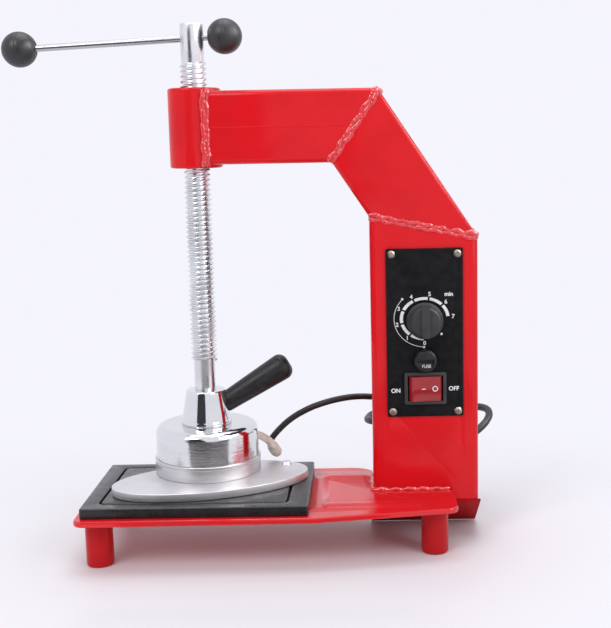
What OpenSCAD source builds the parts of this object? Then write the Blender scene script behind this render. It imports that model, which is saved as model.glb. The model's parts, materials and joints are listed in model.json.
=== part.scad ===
// Bench tyre vulcanizer: a C-frame screw press with a heated head.
// Millimetres. X runs from the screw towards the column, Y away from the front, Z up.
// The floor is Z = 0 and the origin is the middle of the outline on the floor.

/* [Frame] */
// Width of the column tube
column_w = 80; // [70:1:100]
// Depth of the column, neck and arm tubes
frame_d = 40; // [38:1:56]
// Wall of the frame tubes
tube_wall = 3; // [2:0.5:4]
// Outer corner radius of the frame tubes
tube_corner = 4.5; // [4.5:0.5:8]
// Gap between the screw axis and the column
throat = 128; // [116:1:160]
// Column left above the control panel, at the inner side
panel_margin = 23.5; // [22:0.5:40]
// Height of the arm tube
arm_h = 53.5; // [44:0.5:60]
// Rise of the neck from the column's inner top corner to the arm's underside
neck_rise = 40.5; // [30:0.5:60]
// Width of the slanted neck tube
neck_w = 58.2; // [52:0.1:64]
// Slope of the neck from level, in degrees
neck_angle = 56.5; // [50:0.5:62]
// Height of the column's front wall above the floor
heel_front_z = 31.5; // [20:0.5:34]
// Thickness of the plate that closes the column's foot
heel_t = 1.5; // [1:0.5:4]
// How far the heel plate stands out past the column
heel_lip = 1.8; // [0.5:0.1:4]
// How far the heel plate runs on behind the column
heel_back = 3; // [0:0.5:12]

/* [Base] */
// Thickness of the base plate
base_t = 4.5; // [3:0.5:6]
// Reach of the base plate to the left of the screw axis
base_left = 88.5; // [86:0.5:110]
// Distance from the screw axis forward to the base plate's front edge
base_front = 82.5; // [78:0.5:100]
// Distance from the screw axis back to the base plate's rear edge
base_rear = 41.6; // [38:0.1:60]
// Where the front edge starts to taper towards the tail
taper_x = 83; // [78:1:110]
// How far the front edge draws in along the tail
taper_in = 16; // [8:1:26]
// Length of the tail past the column's inner face
tail_l = 61; // [40:1:74]
// Corner radius of the base plate
base_corner = 8; // [4:1:12]
// Radius of the rear corner beside the column
rear_corner = 22; // [10:1:30]
// Width of the stiffening beads
bead_w = 15; // [8:1:18]
// Height of the stiffening beads
bead_h = 2; // [1:0.5:3]
// Inset of the beads from the front and rear edges
bead_inset = 27; // [20:1:32]
// Diameter of the feet
foot_d = 20; // [14:1:24]
// Length of the feet
foot_h = 35; // [33:0.5:60]
// Bevel at the foot of each foot
foot_bevel = 1; // [0.5:0.5:2]
// Inset of the left feet from the left edge, to their middle
foot_inset = 14.5; // [12:0.5:30]
// Inset of the front feet from the front edge, to their middle
foot_margin = 23; // [16:0.5:34]
// Inset of the rear foot from the rear edge, to its middle
foot_rear_margin = 12; // [11:0.5:34]

/* [Pressing pad] */
// Width of the pad
pad_w = 164; // [140:1:168]
// Offset of the pad's middle to the left of the screw axis
pad_left = 1.6; // [0:0.1:4]
// Turn of the pad seen from above, in degrees
pad_turn = -0.5; // [-3:0.1:3]
// Depth of the pad
pad_d = 113.4; // [100:0.2:116]
// Height of the pad
pad_h = 7.5; // [5:0.5:12]
// Rim of the pad left and right of its insert
pad_rim = 13; // [8:0.5:20]
// Rim of the pad in front of its insert and behind it
pad_rim_y = 10; // [8:0.5:20]
// Groove between the rim and the insert
pad_groove = 1.6; // [0.8:0.1:3]
// Thickness of the insert
insert_t = 3; // [2:0.5:4]
// Corner radius of the insert
insert_corner = 4; // [2:0.5:10]
// Offset of the insert's middle to the left of the pad's middle
insert_left = 0.9; // [0:0.1:3]
// Turn of the insert in the pad seen from above, in degrees
insert_turn = -0.9; // [-2:0.1:2]

/* [Heated head] */
// Running gap between the head and the pad
seat_gap = 0.2; // [0.1:0.1:0.5]
// Half the length of the oval plate
plate_a = 75; // [62:1:80]
// Half the width of the oval plate
plate_b = 38; // [34:1:44]
// Inset of the plate screw from the oval's end
plate_screw_inset = 13; // [10:0.5:20]
// Thickness of the oval plate
plate_t = 6; // [4:0.5:10]
// Turn of the oval plate seen from above
plate_turn = 18; // [0:1:30]
// Offset of the oval plate's middle in front of the screw axis
plate_fwd = 22; // [0:0.5:24]
// Offset of the oval plate's middle to the right of the screw axis
plate_side = 5; // [0:0.5:8]
// Diameter of the heater block
block_d = 81; // [80:0.5:90]
// Height of the heater block
block_h = 12; // [10:0.5:20]
// Diameter of the cup
cup_d = 78.6; // [70:0.2:79]
// Height of the cup
cup_h = 25; // [22:0.5:40]
// Wall of the cup
cup_wall = 1.5; // [1:0.1:2.5]
// Shoulder radius of the cup
cup_round = 6; // [3:0.5:8]
// Foot diameter of the cone collar
cone_d = 38.4; // [34:0.5:44]
// Top diameter of the cone collar
cone_top_d = 29; // [24:0.5:32]
// Height of the cone collar
cone_h = 26.5; // [24:0.5:40]
// Straight band at the foot of the cone collar
cone_band = 3; // [1:0.5:5]
// Depth of the collar's socket for the screw
socket_depth = 19; // [16:0.5:19.5]
// Length of the grip
grip_l = 58; // [40:1:90]
// Grip diameter at the collar
grip_d = 15.6; // [13:0.2:18]
// Grip diameter at its far end
grip_end_d = 20.6; // [18:0.2:26]
// Diameter of the stud that carries the grip
stud_d = 8; // [6:0.5:10]
// Rise of the grip from level, in degrees
grip_rise = 30; // [15:1:45]
// Turn of the grip behind the X axis, in degrees
grip_turn = 10; // [0:1:30]

/* [Clamp screw] */
// Outer diameter of the thread
thread_d = 20; // [18:0.5:24]
// Pitch of the thread
pitch = 3.7; // [3:0.1:5]
// Depth of the thread
thread_depth = 1.9; // [1.2:0.1:2.2]
// Diameter of the plain neck under the thread
neck_d = 16; // [14:0.5:17]
// Diameter of the plain head above the thread
screw_head_d = 16.8; // [15:0.2:18]
// Length of the plain head above the thread
screw_head_h = 30.7; // [24:0.1:40]
// Height of the end of the thread above the arm's underside
thread_top = 72; // [68:0.5:90]
// Free neck between the collar and the thread
neck_h = 21; // [12:0.5:30]
// Diameter of the threaded boss
boss_d = 39; // [34:0.5:40]
// How far the boss stands out above and below the arm
boss_proud = 2.5; // [1:0.5:6]
// Radial running clearance of the screw
run_gap = 0.1; // [0.05:0.01:0.1]
// Diameter of the cross bar
bar_d = 5; // [4:0.5:8]
// Distance between the middles of the two ball knobs
bar_span = 151.2; // [120:0.2:200]
// Distance from the screw axis to the middle of the right ball knob
bar_right = 24.1; // [23:0.1:60]
// Droop of the loose cross bar to the left, in degrees
bar_droop = 2.6; // [0:0.1:4]
// Diameter of the ball knobs
ball_d = 26; // [20:0.5:28]
// Loose fit around the cross bar
bar_gap = 0.3; // [0.2:0.1:0.5]

/* [Controls] */
// Width of the control panel
panel_w = 57; // [54:1:66]
// Height of the control panel
panel_h = 127; // [122:1:134]
// Thickness of the control panel
panel_t = 1.5; // [1:0.5:3]
// Height of the panel's lower edge above the floor
panel_z = 97; // [80:1:104]
// Inset of the panel screws from its edges
panel_screw_inset = 4; // [3.5:0.1:6]
// Length of the panel screws
panel_screw_l = 8; // [6:0.5:12]
// Thread diameter of the panel screws
panel_screw_d = 3; // [2.5:0.5:4]
// Diameter of the timer knob
knob_d = 27.4; // [24:0.2:34]
// Height of the timer knob
knob_h = 14; // [10:0.5:20]
// Height of the timer above the panel's lower edge
timer_z = 73.2; // [70:0.1:80]
// Diameter of the timer's case
timer_d = 40; // [34:1:44]
// Depth of the timer's case
timer_l = 22; // [16:1:30]
// Diameter of the timer's shaft
shaft_d = 6; // [4:0.5:8]
// Height of the fuse above the panel's lower edge
fuse_z = 43.3; // [42:0.1:46]
// Diameter of the fuse cap
fuse_cap_d = 17; // [14:0.5:18]
// Height of the fuse cap
fuse_cap_h = 7; // [4:0.5:12]
// Diameter of the fuse holder's body
fuse_body_d = 12; // [10:0.5:13]
// Length of the fuse holder's body
fuse_body_l = 30; // [24:1:34]
// Height of the switch above the panel's lower edge
switch_z = 21.8; // [20:0.1:24]
// Width of the switch's bezel
switch_w = 31.5; // [30:0.5:36]
// Height of the switch's bezel
switch_h = 24.3; // [22:0.1:26]
// Frame of the switch around its rocker
switch_rim = 2.9; // [2:0.1:4]
// Tilt of the rocker either side of level, in degrees
rocker_tilt = 8; // [4:1:10]
// Height of the terminal block above the floor
terminal_z = 52; // [44:1:60]
// Width of the terminal block
terminal_w = 40; // [30:1:50]
// Depth of the terminal block
terminal_t = 12; // [8:0.5:16]
// Height of the terminal block
terminal_l = 18; // [12:0.5:24]
// Working gap around knobs, caps and rockers
work_gap = 0.4; // [0.3:0.1:0.6]
// Close gap around pieces that are fixed in a hole
fit_gap = 0.1; // [0.05:0.01:0.2]

/* [Cords] */
// Diameter of the heater lead
lead_d = 5; // [4.5:0.1:6]
// Diameter of the glass-fibre sleeve
sleeve_d = 6; // [5:0.1:6.4]
// Diameter of the mains cord
cord_d = 6; // [5.5:0.1:6]
// Turns of the put-away coil
coil_turns = 4.75; // [2.75:1:4.75]
// Step between the coil's turns, across and up
coil_step = 6.6; // [6.6:0.1:7]
// Least radius of the coil
coil_r = 25; // [24:1:26]

/* [Hidden] */
$fn = 64;

// Colours
RED = [0.80, 0.05, 0.07];
BLACK = [0.06, 0.06, 0.065];
CHROME = [0.85, 0.86, 0.88];
ALUMINIUM = [0.72, 0.72, 0.71];
ZINC = [0.75, 0.77, 0.79];
BRASS = [0.78, 0.62, 0.30];
BEIGE = [0.85, 0.78, 0.68];
GREY = [0.35, 0.36, 0.38];

// Heights from the floor up
column_h = panel_z + panel_h + panel_margin;
arm_bottom = column_h + neck_rise;
base_z = foot_h;
base_top = base_z + base_t;
pad_top = base_top + pad_h;
plate_z = pad_top + seat_gap;
block_z = plate_z + plate_t;
cup_z = block_z + block_h;
cone_z = cup_z + cup_h;
cone_top = cone_z + cone_h;
arm_top = arm_bottom + arm_h;
boss_z = arm_bottom - boss_proud;
boss_h = arm_h + 2 * boss_proud;

// Corners of the slanted neck, seen from the front
column_x2 = throat + column_w;
neck_out = [throat + neck_w * sin(neck_angle), column_h + neck_w * cos(neck_angle)];
column_h2 = neck_out[1] - (column_x2 - neck_out[0]) * tan(neck_angle);
knee_in = [throat - (arm_bottom - column_h) / tan(neck_angle), arm_bottom];
knee_out = [neck_out[0] - (arm_top - neck_out[1]) / tan(neck_angle), arm_top];
cut_past = 6;
arm_start = 8;

// Heel of the column
front_y = -frame_d / 2;
rear_y = frame_d / 2;
heel_d = frame_d + heel_back;
heel_drop = heel_t * sqrt(pow(heel_front_z, 2) + pow(heel_d, 2)) / heel_d;
heel_rear_z = heel_drop + (heel_front_z - heel_drop) * heel_back / heel_d;

// Base plate
tail_x = throat + tail_l;
foot_y = -base_front + foot_margin;
foot_rear_y = base_rear - foot_rear_margin;
foot_x = -base_left + foot_inset;
foot_right_x = tail_x - foot_margin / 2 - foot_d / 4;
foot_right_y = foot_y + taper_in * (foot_right_x - taper_x) / (tail_x - taper_x);
pad_y = (base_rear - base_front) / 2;
bead_x = pad_w / 2 + 6 + bead_w / 2;
bead_r = (pow(bead_w / 2, 2) + pow(bead_h, 2)) / (2 * bead_h);
bead_rear_y = base_rear - bead_inset;
bead_front_y = -base_front + bead_inset;
bead_end = 28;
bead_stop = throat - bead_w / 2 - 0.6;
bead_root = 0.2;

// Clamp screw
thread_r = thread_d / 2;
root_r = thread_r - thread_depth;
washer_t = 2;
washer_gap = 0.1;
socket_z = cone_top - socket_depth;
screw_z = socket_z + washer_t + 2 * washer_gap;
thread_z = cone_top + neck_h;
thread_end = arm_bottom + thread_top;
screw_top = thread_end + screw_head_h;
groove_z = screw_z + 6;
groove_w = 4.6;
groove_depth = 1.6;
set_screw_d = 4;
set_screw_turn = [80, 140];
bar_z = screw_top - 10.7;
ball_r = ball_d / 2;
bar_left = bar_span - bar_right;
ball_hole = 9;
ball_flat = 3.2;

// Head
screw_hole = 0.2;
element_r = block_d / 2 - 6;
element_t = 3;
insulation_t = 2.8;
block_recess = element_t + insulation_t + 0.2;
grip_z = cone_z + 6.4;
grip_near = 17;
stud_from = thread_r + 1.5;
bolt_d = 8;
bolt_head_h = 5;
bolt_head_d = 13;
sleeve_turn = 15;
sleeve_z = cup_z + 11.5;
sleeve_root = 3;
bushing_d = sleeve_d + 5;
bushing_l = 3.4;
bushing_in = cup_wall + 1.2;
thermostat_x = 17;
thermostat_d = 16;
thermostat_h = 8;

// Panel
panel_x = throat + column_w / 2;
panel_y = front_y - panel_t;
opening_w = panel_w - 10;
opening_h = panel_h - 12;

// Outline on the floor, without the cords
x_low = -bar_left * cos(bar_droop) - ball_r;
x_high = column_x2 + heel_lip;
mid_x = (x_low + x_high) / 2;
mid_y = (base_rear - base_front) / 2;

// Routes of the cords, as points chosen by hand
sleeve_route = [
    [-6, 0, 0], [3.6, 0, 0], [8, 0.5, -2.6], [12.7, 0.7, -6.5], [16.8, 1.7, -11], [19.4, 4.1, -15.3],
    [19.4, 7.8, -18.2], [17.9, 11.6, -18], [16.19, 14.3, -14.6], [16.19, 14.3, -11.6]
];
lead_head_route = [
    [47, 27.4, 65.4], [47, 27.4, 67.2], [48.3, 27.4, 70], [50.6, 27.2, 72.9], [53.2, 27, 75.8],
    [59.1, 27, 81.5], [64.9, 27, 85.9], [70, 27, 89.1]
];
lead_column_route = [
    [70.4, 27, 89.3], [76.4, 27.2, 92.3], [82.2, 27.6, 94.7], [87.9, 28.2, 96.5], [93.7, 29, 98],
    [99.3, 30, 99.1],
    [105.1, 31.3, 99.9], [110.8, 32.9, 100.3], [116.5, 34.6, 100.3], [122.3, 36.3, 99.9], [128, 37.5, 99.2],
    [134.5, 38.2, 98.4], [141, 37.8, 97.6], [147, 35.2, 97], [151.4, 30, 97], [152.6, 25, 97],
    [152.6, 20.6, 97]
];
lead_entry = [152.6, 97];
grommet_d = lead_d + 3;
gland_x = 177;
gland_z = 83;
gland_y = 28;
gland_l = 26;
cord_route = [
    [150.7, 28, 83], [147, 28, 83], [138.5, 30.2, 81.6], [130.2, 36.6, 79.4], [125.5, 45.8, 77.9],
    [125.1, 56.2, 76.9],
    [128.2, 65.8, 77.2], [135.4, 72.8, 78.4], [146, 75.9, 79.4], [160, 76.4, 80.1],
    [174, 76.4, 80.6], [188, 76.4, 80.6],
    [199, 76, 80.6], [207, 74.2, 80.9], [214.3, 70.3, 81.6], [219.9, 64, 82.3], [223.5, 56.2, 82.2],
    [224, 48, 80.4], [221.3, 40, 77.5], [216.2, 33.7, 73.8], [208.9, 29.5, 69.3], [199.6, 27.8, 63.9],
    [189, 27.8, 57.6], [178, 29.6, 51], [166, 34.4, 43.6], [155, 42.4, 36], [145, 51.6, 29.4],
    [135.6, 63, 23.4],
    [128.6, 76, 18.4], [126.6, 90, 14.8], [131.4, 103, 12.5], [141, 112, 11.4], [151, 116.3, 10.95]
];
coil_x = 168;
coil_y = 76.6;
coil_z = cord_d / 2 + 1.2;
coil_half = coil_turns / 2;
coil_rings = 24;
coil_first = 90;
plug_l = 34;
plug_w = 15;
pin_d = 4;
pin_l = 16;

// A piece in its colour, with the outline's middle at the origin
module piece(c) { color(c) translate([-mid_x, -mid_y, 0]) children(); }

// Rectangle about the origin with round corners
module rounded(w, h, r) {
    square([w - 2 * r, h], center = true);
    square([w, h - 2 * r], center = true);
    for (x = [-1, 1], y = [-1, 1]) translate([x * (w / 2 - r), y * (h / 2 - r)]) circle(r);
}

// Section of a frame tube about the origin
module tube_section(w) {
    difference() {
        rounded(w, frame_d, tube_corner);
        rounded(w - 2 * tube_wall, frame_d - 2 * tube_wall, tube_corner - tube_wall);
    }
}

// A shape drawn in X and Z, made as deep as l about Y = 0
module from_front(l) { rotate([90, 0, 0]) linear_extrude(l, center = true) children(); }

// A shape drawn in Y and Z, from x to x + l
module from_side(x, l) { translate([x, 0, 0]) rotate([90, 0, 90]) linear_extrude(l) children(); }

// A cylinder from y towards the back
module along_y(x, y, z, d, l) { translate([x, y, z]) rotate([-90, 0, 0]) cylinder(d = d, h = l); }

// Points of an arc from angle a to b
function arc(x, y, r, a, b, n = 8) =
    [for (i = [0:n]) let (t = a + (b - a) * i / n) [x + r * cos(t), y + r * sin(t)]];

// A tube of n sides swept along points, closed at both ends
function unit(v) = v / norm(v);
function heading(p, i) = unit(p[min(i + 1, len(p) - 1)] - p[max(i - 1, 0)]);
function across(t) = unit(cross(abs(t[2]) > 0.95 ? [1, 0, 0] : [0, 0, 1], t));
function ring(c, t, r, n) = let (u = across(t), v = cross(t, u))
    [for (k = [0:n - 1]) c + r * (cos(360 * k / n) * u + sin(360 * k / n) * v)];
module sweep(p, d, n) {
    m = len(p);
    points = [for (i = [0:m - 1]) each ring(p[i], heading(p, i), d / 2, n)];
    sides = [for (i = [0:m - 2], k = [0:n - 1]) let (a = i * n + k, b = i * n + (k + 1) % n)
        each [[a, a + n, b], [b, a + n, b + n]]];
    first = [for (k = [1:n - 2]) [0, k, k + 1]];
    last = [for (k = [1:n - 2]) [(m - 1) * n, (m - 1) * n + k + 1, (m - 1) * n + k]];
    polyhedron(points, concat(sides, first, last));
}

// Base and feet
module base_outline() {
    slope = atan(taper_in / (tail_x - taper_x));
    c = base_corner;
    tail_y = -base_front + taper_in;
    polygon(concat(
        arc(-base_left + c, -base_front + c, c, 180, 270),
        [[taper_x, -base_front]],
        arc(tail_x - c, tail_y + c, c, 270 + slope, 360),
        [[tail_x, front_y], [throat, front_y]],
        arc(throat + 4.5 - rear_corner, base_rear - rear_corner, rear_corner, acos(1 - 4.5 / rear_corner), 90),
        arc(-base_left + c, base_rear - c, c, 90, 180)
    ));
}
module bead(y, x2, ends) {
    intersection() {
        translate([0, y, base_top + bead_h - bead_r]) {
            translate([bead_x, 0, 0]) rotate([0, 90, 0]) cylinder(r = bead_r, h = x2 - bead_x);
            for (x = ends) translate([x, 0, 0]) sphere(r = bead_r);
        }
        translate([bead_x - bead_w, y - bead_w / 2, base_top - bead_root])
            cube([x2 - bead_x + 2 * bead_w, bead_w, bead_root + bead_h + 1]);
    }
}
module base_plate() piece(RED) {
    translate([0, 0, base_z]) linear_extrude(base_t) base_outline();
    bead(bead_rear_y, bead_stop, [bead_x, bead_stop]);
    bead(bead_front_y, throat + bead_end, [bead_x, throat + bead_end]);
}
module foot(x, y) {
    translate([x, y, 0]) rotate_extrude() polygon([
        [0, 0], [foot_d / 2 - foot_bevel, 0], [foot_d / 2, foot_bevel], [foot_d / 2, foot_h], [0, foot_h]]);
}
module foot_front_left() piece(RED) foot(foot_x, foot_y);
module foot_front_right() piece(RED) foot(foot_right_x, foot_right_y);
module foot_rear_left() piece(RED) foot(foot_x, foot_rear_y);

// Frame
module column_tube() piece(RED) difference() {
    translate([panel_x, 0, 0]) linear_extrude(column_h) tube_section(column_w);
    from_front(2 * frame_d) polygon([
        [throat, column_h], [column_x2, column_h2], [column_x2 + cut_past, column_h2],
        [column_x2 + cut_past, column_h + cut_past], [throat, column_h + cut_past]]);
    from_side(throat - cut_past, column_w + 2 * cut_past) polygon([
        [front_y, heel_front_z], [rear_y, heel_rear_z], [rear_y + cut_past, heel_rear_z],
        [rear_y + cut_past, -cut_past], [front_y - cut_past, -cut_past], [front_y - cut_past, heel_front_z]]);
    translate([panel_x - opening_w / 2, front_y - 1, panel_z + (panel_h - opening_h) / 2])
        cube([opening_w, tube_wall + 2, opening_h]);
    panel_holes() along_y(0, front_y - 1, 0, panel_screw_d + 2 * fit_gap, tube_wall + 2);
    along_y(gland_x, rear_y - tube_wall - 1, gland_z, cord_d + 4 + 2 * fit_gap, tube_wall + 2);
    along_y(lead_entry[0], rear_y - tube_wall - 1, lead_entry[1], grommet_d + 2 * fit_gap, tube_wall + 2);
}
module heel_plate() piece(RED) from_side(throat - heel_lip, column_w + 2 * heel_lip) polygon([
    [front_y, heel_front_z], [front_y, heel_front_z - heel_drop], [rear_y + heel_back, 0],
    [rear_y + heel_back, heel_drop]]);
module neck_tube() piece(RED) intersection() {
    translate([throat, 0, column_h]) rotate([0, neck_angle - 90, 0])
        translate([neck_w / 2, 0, -column_w]) linear_extrude(column_w + 3 * arm_h) tube_section(neck_w);
    from_front(2 * frame_d) polygon([
        [throat, column_h], [column_x2, column_h2], knee_out + [cut_past, 0], knee_out, knee_in,
        knee_in - [cut_past, 0]]);
}
module arm_tube() piece(RED) difference() {
    intersection() {
        translate([arm_start, 0, arm_bottom + arm_h / 2]) rotate([0, 90, 0])
            linear_extrude(knee_out[0]) tube_section(arm_h);
        from_front(2 * frame_d) polygon([
            [0, arm_bottom - 1], knee_in - [0, 1], knee_in, knee_out, knee_out + [0, 1], [0, arm_top + 1]]);
    }
    translate([0, 0, boss_z - 1]) cylinder(d = boss_d + 2 * fit_gap, h = boss_h + 2);
}
module nut_boss() piece(RED) translate([0, 0, boss_z]) difference() {
    rotate_extrude() polygon([
        [0, 0], [boss_d / 2 - 1, 0], [boss_d / 2, 1], [boss_d / 2, boss_h - 1], [boss_d / 2 - 1, boss_h],
        [0, boss_h]]);
    translate([0, 0, -1]) cylinder(r = thread_r + run_gap, h = boss_h + 2);
}

// Pressing pad
module on_pad(z) { translate([-pad_left, pad_y, z]) rotate([0, 0, pad_turn]) children(); }
module insert_outline(gap) translate([-insert_left, 0]) rotate(insert_turn)
    rounded(pad_w - 2 * (pad_rim + gap), pad_d - 2 * (pad_rim_y + gap), insert_corner + pad_groove - gap);
module pad_tray() piece(BLACK) on_pad(base_top) difference() {
    linear_extrude(pad_h) rounded(pad_w, pad_d, 2);
    translate([0, 0, pad_h - insert_t]) linear_extrude(insert_t + 1) insert_outline(0);
}
module pad_insert() piece(BLACK) on_pad(pad_top - insert_t)
    linear_extrude(insert_t) insert_outline(pad_groove);

// Heated head
module head_hole(turn, z, d) {
    rotate([0, 0, turn]) translate([cup_d / 2 - cut_past, 0, z]) rotate([0, 90, 0])
        cylinder(d = d, h = 2 * cut_past);
}
module plate_place() { translate([plate_side, -plate_fwd, plate_z]) rotate([0, 0, plate_turn]) children(); }
module screw_place() { plate_place() translate([plate_a - plate_screw_inset, plate_b / 3, 0]) children(); }
module oval_plate() piece(ALUMINIUM) difference() {
    plate_place() linear_extrude(plate_t)
        polygon([for (i = [0:71]) [plate_a * cos(5 * i), plate_b * sin(5 * i)]]);
    screw_place() translate([0, 0, plate_t - 4]) cylinder(d = 5 + 2 * fit_gap, h = 5);
}
module plate_screw() piece(ZINC) screw_place() translate([0, 0, plate_t]) {
    translate([0, 0, -3.5]) cylinder(d = 5, h = 3.6);
    difference() {
        cylinder(d1 = 9, d2 = 7, h = 2);
        translate([-5, -0.6, 1.1]) cube([10, 1.2, 2]);
    }
}
module heater_block() piece(ALUMINIUM) translate([0, 0, block_z]) difference() {
    cylinder(d = block_d, h = block_h);
    translate([0, 0, block_h - block_recess]) cylinder(r = element_r + fit_gap, h = block_recess + 1);
}
element_z = cup_z - block_recess;
module heater_element() piece(GREY) translate([0, 0, element_z]) cylinder(r = element_r, h = element_t);
module insulation_disc() piece(BEIGE) translate([0, 0, element_z + element_t])
    cylinder(r = element_r, h = insulation_t);
module thermostat() piece(BLACK) translate([-thermostat_x, 0, element_z + element_t + insulation_t]) {
    cylinder(d = thermostat_d, h = thermostat_h);
    for (y = [-4, 4]) translate([-0.4, y - 2, thermostat_h - 0.1]) cube([0.8, 4, 4.1]);
}
module heater_cup() piece(CHROME) difference() {
    r = cup_d / 2;
    ri = r - cup_wall;
    translate([0, 0, cup_z]) rotate_extrude() polygon(concat(
        [[bolt_d / 2 + screw_hole, cup_h - cup_wall]],
        arc(ri - cup_round + cup_wall, cup_h - cup_round, cup_round - cup_wall, 90, 0),
        [[ri, 0], [r, 0]],
        arc(r - cup_round, cup_h - cup_round, cup_round, 0, 90),
        [[bolt_d / 2 + screw_hole, cup_h]]));
    head_hole(sleeve_turn, sleeve_z, sleeve_d + 4 * fit_gap);
}
module cone_bolt() piece(ZINC) translate([0, 0, cone_z - cup_wall]) {
    translate([0, 0, -bolt_head_h]) cylinder(d = bolt_head_d, h = bolt_head_h, $fn = 6);
    translate([0, 0, -0.1]) cylinder(d = bolt_d, h = cup_wall + 5.1);
}
module collar_frame(turn, z) { translate([0, 0, z]) rotate([0, 0, turn]) rotate([0, 90, 0]) children(); }
module grip_frame() {
    translate([0, 0, grip_z]) rotate([0, 0, grip_turn]) rotate([0, 90 - grip_rise, 0]) children();
}
module cone_collar() piece(CHROME) difference() {
    translate([0, 0, cone_z]) rotate_extrude() polygon([
        [0, 0], [cone_d / 2, 0], [cone_d / 2, cone_band], [cone_top_d / 2 + 0.4, cone_h - 1],
        [cone_top_d / 2 - 0.8, cone_h], [0, cone_h]]);
    translate([0, 0, socket_z]) cylinder(d = neck_d + 2 * run_gap, h = socket_depth + 1);
    translate([0, 0, cone_z - 1]) cylinder(d = bolt_d + 2 * fit_gap, h = 6.4);
    for (a = set_screw_turn) collar_frame(a, groove_z + groove_w / 2)
        cylinder(d = set_screw_d + 2 * fit_gap, h = cone_d);
    grip_frame() translate([0, 0, stud_from]) cylinder(d = stud_d + 2 * fit_gap, h = cone_d);
}
module set_screws() piece(ZINC) for (a = set_screw_turn) collar_frame(a, groove_z + groove_w / 2)
    translate([0, 0, neck_d / 2 - groove_depth + 0.3]) cylinder(d = set_screw_d, h = 6.5);
module grip_stud() piece(ZINC) grip_frame() translate([0, 0, stud_from + 0.2])
    cylinder(d = stud_d, h = grip_near + grip_l / 2 - stud_from);
module head_grip() piece(BLACK) difference() {
    e = grip_end_d / 2;
    m = 3 * fit_gap;
    grip_frame() translate([0, 0, grip_near]) rotate_extrude() polygon(concat(
        [[0, 0], [grip_d / 2 - 1, 0], [grip_d / 2, 1], [e, grip_l - 7]],
        arc(e - 7, grip_l - 7, 7, 0, 90), [[0, grip_l]]));
    grip_frame() translate([0, 0, grip_near - 1]) cylinder(d = stud_d + 2 * fit_gap, h = grip_l / 2 + 2);
    translate([0, 0, cone_z]) rotate_extrude() polygon([
        [0, 0], [cone_d / 2 + m, 0], [cone_d / 2 + m, cone_band], [cone_top_d / 2 + 0.4 + m, cone_h],
        [0, cone_h]]);
}
module lead_bushing() piece(BLACK) rotate([0, 0, sleeve_turn])
    translate([cup_d / 2 - bushing_in - bushing_l, 0, sleeve_z]) rotate([0, 90, 0]) difference() {
        cylinder(d = bushing_d, h = bushing_l);
        translate([0, 0, -1]) cylinder(d = sleeve_d + 2 * fit_gap, h = bushing_l + 2);
    }
module lead_sleeve() piece(BEIGE) rotate([0, 0, sleeve_turn]) translate([cup_d / 2 - sleeve_root, 0, sleeve_z])
    sweep(sleeve_route, sleeve_d, 10);

// Clamp screw and its cross bar
module thrust_washer() piece(BRASS) translate([0, 0, socket_z + washer_gap])
    cylinder(r = neck_d / 2 - 0.3, h = washer_t);
module bar_frame() { translate([0, 0, bar_z]) rotate([0, 90 - bar_droop, 0]) children(); }
module clamp_screw() piece(ZINC) difference() {
    n = neck_d / 2;
    turns = floor((thread_end - thread_z) / pitch);
    rotate_extrude() polygon(concat(
        [[0, screw_z], [n - 1, screw_z], [n, screw_z + 1], [n, groove_z], [n - groove_depth, groove_z],
         [n - groove_depth, groove_z + groove_w], [n, groove_z + groove_w], [n, thread_z - 1]],
        [for (i = [0:turns - 1]) let (z = thread_z + i * pitch) each [
            [root_r, z], [root_r, z + 0.24 * pitch], [thread_r, z + 0.5 * pitch], [thread_r, z + 0.76 * pitch]]],
        [[root_r, thread_z + turns * pitch], [screw_head_d / 2, thread_end], [screw_head_d / 2, screw_top - 1],
         [screw_head_d / 2 - 1, screw_top], [0, screw_top]]));
    bar_frame() cylinder(d = bar_d + 2 * bar_gap, h = 2 * thread_d, center = true);
}
module t_bar() piece(ZINC) bar_frame() translate([0, 0, -bar_left - ball_hole + ball_r])
    cylinder(d = bar_d, h = bar_span + 2 * (ball_hole - ball_r));
module ball_knob(at, way) {
    bar_frame() translate([0, 0, at]) rotate([way, 0, 0]) difference() {
        sphere(r = ball_r);
        translate([-ball_r, -ball_r, ball_r - ball_flat / 3]) cube([ball_d, ball_d, ball_r]);
        translate([0, 0, ball_r - ball_hole]) cylinder(d = bar_d + 2 * fit_gap, h = ball_d);
    }
}
module ball_knob_left() piece(BLACK) ball_knob(-bar_left, 0);
module ball_knob_right() piece(BLACK) ball_knob(bar_right, 180);

// Control panel and what it carries
module panel_holes() {
    for (x = [-1, 1], z = [panel_screw_inset, panel_h - panel_screw_inset])
        translate([panel_x + x * (panel_w / 2 - panel_screw_inset), 0, panel_z + z]) children();
}
module control_panel() piece(BLACK) difference() {
    from_front_panel() translate([0, panel_h / 2]) rounded(panel_w, panel_h, 1);
    panel_holes() along_y(0, panel_y - 1, 0, panel_screw_d + 2 * fit_gap, panel_t + 2);
    along_y(panel_x, panel_y - 1, panel_z + timer_z, shaft_d + 4, panel_t + 2);
    along_y(panel_x, panel_y - 1, panel_z + fuse_z, fuse_body_d + 2 * fit_gap, panel_t + 2);
    translate([panel_x, panel_y - 1, panel_z + switch_z]) switch_box(2 * fit_gap, panel_t + 2);
}
module from_front_panel() {
    translate([panel_x, front_y, panel_z]) rotate([90, 0, 0]) linear_extrude(panel_t) children();
}
module switch_box(more, l) {
    translate([-switch_w / 2 + 1.5 - more / 2, 0, -switch_h / 2 + 1.5 - more / 2])
        cube([switch_w - 3 + more, l, switch_h - 3 + more]);
}
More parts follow.
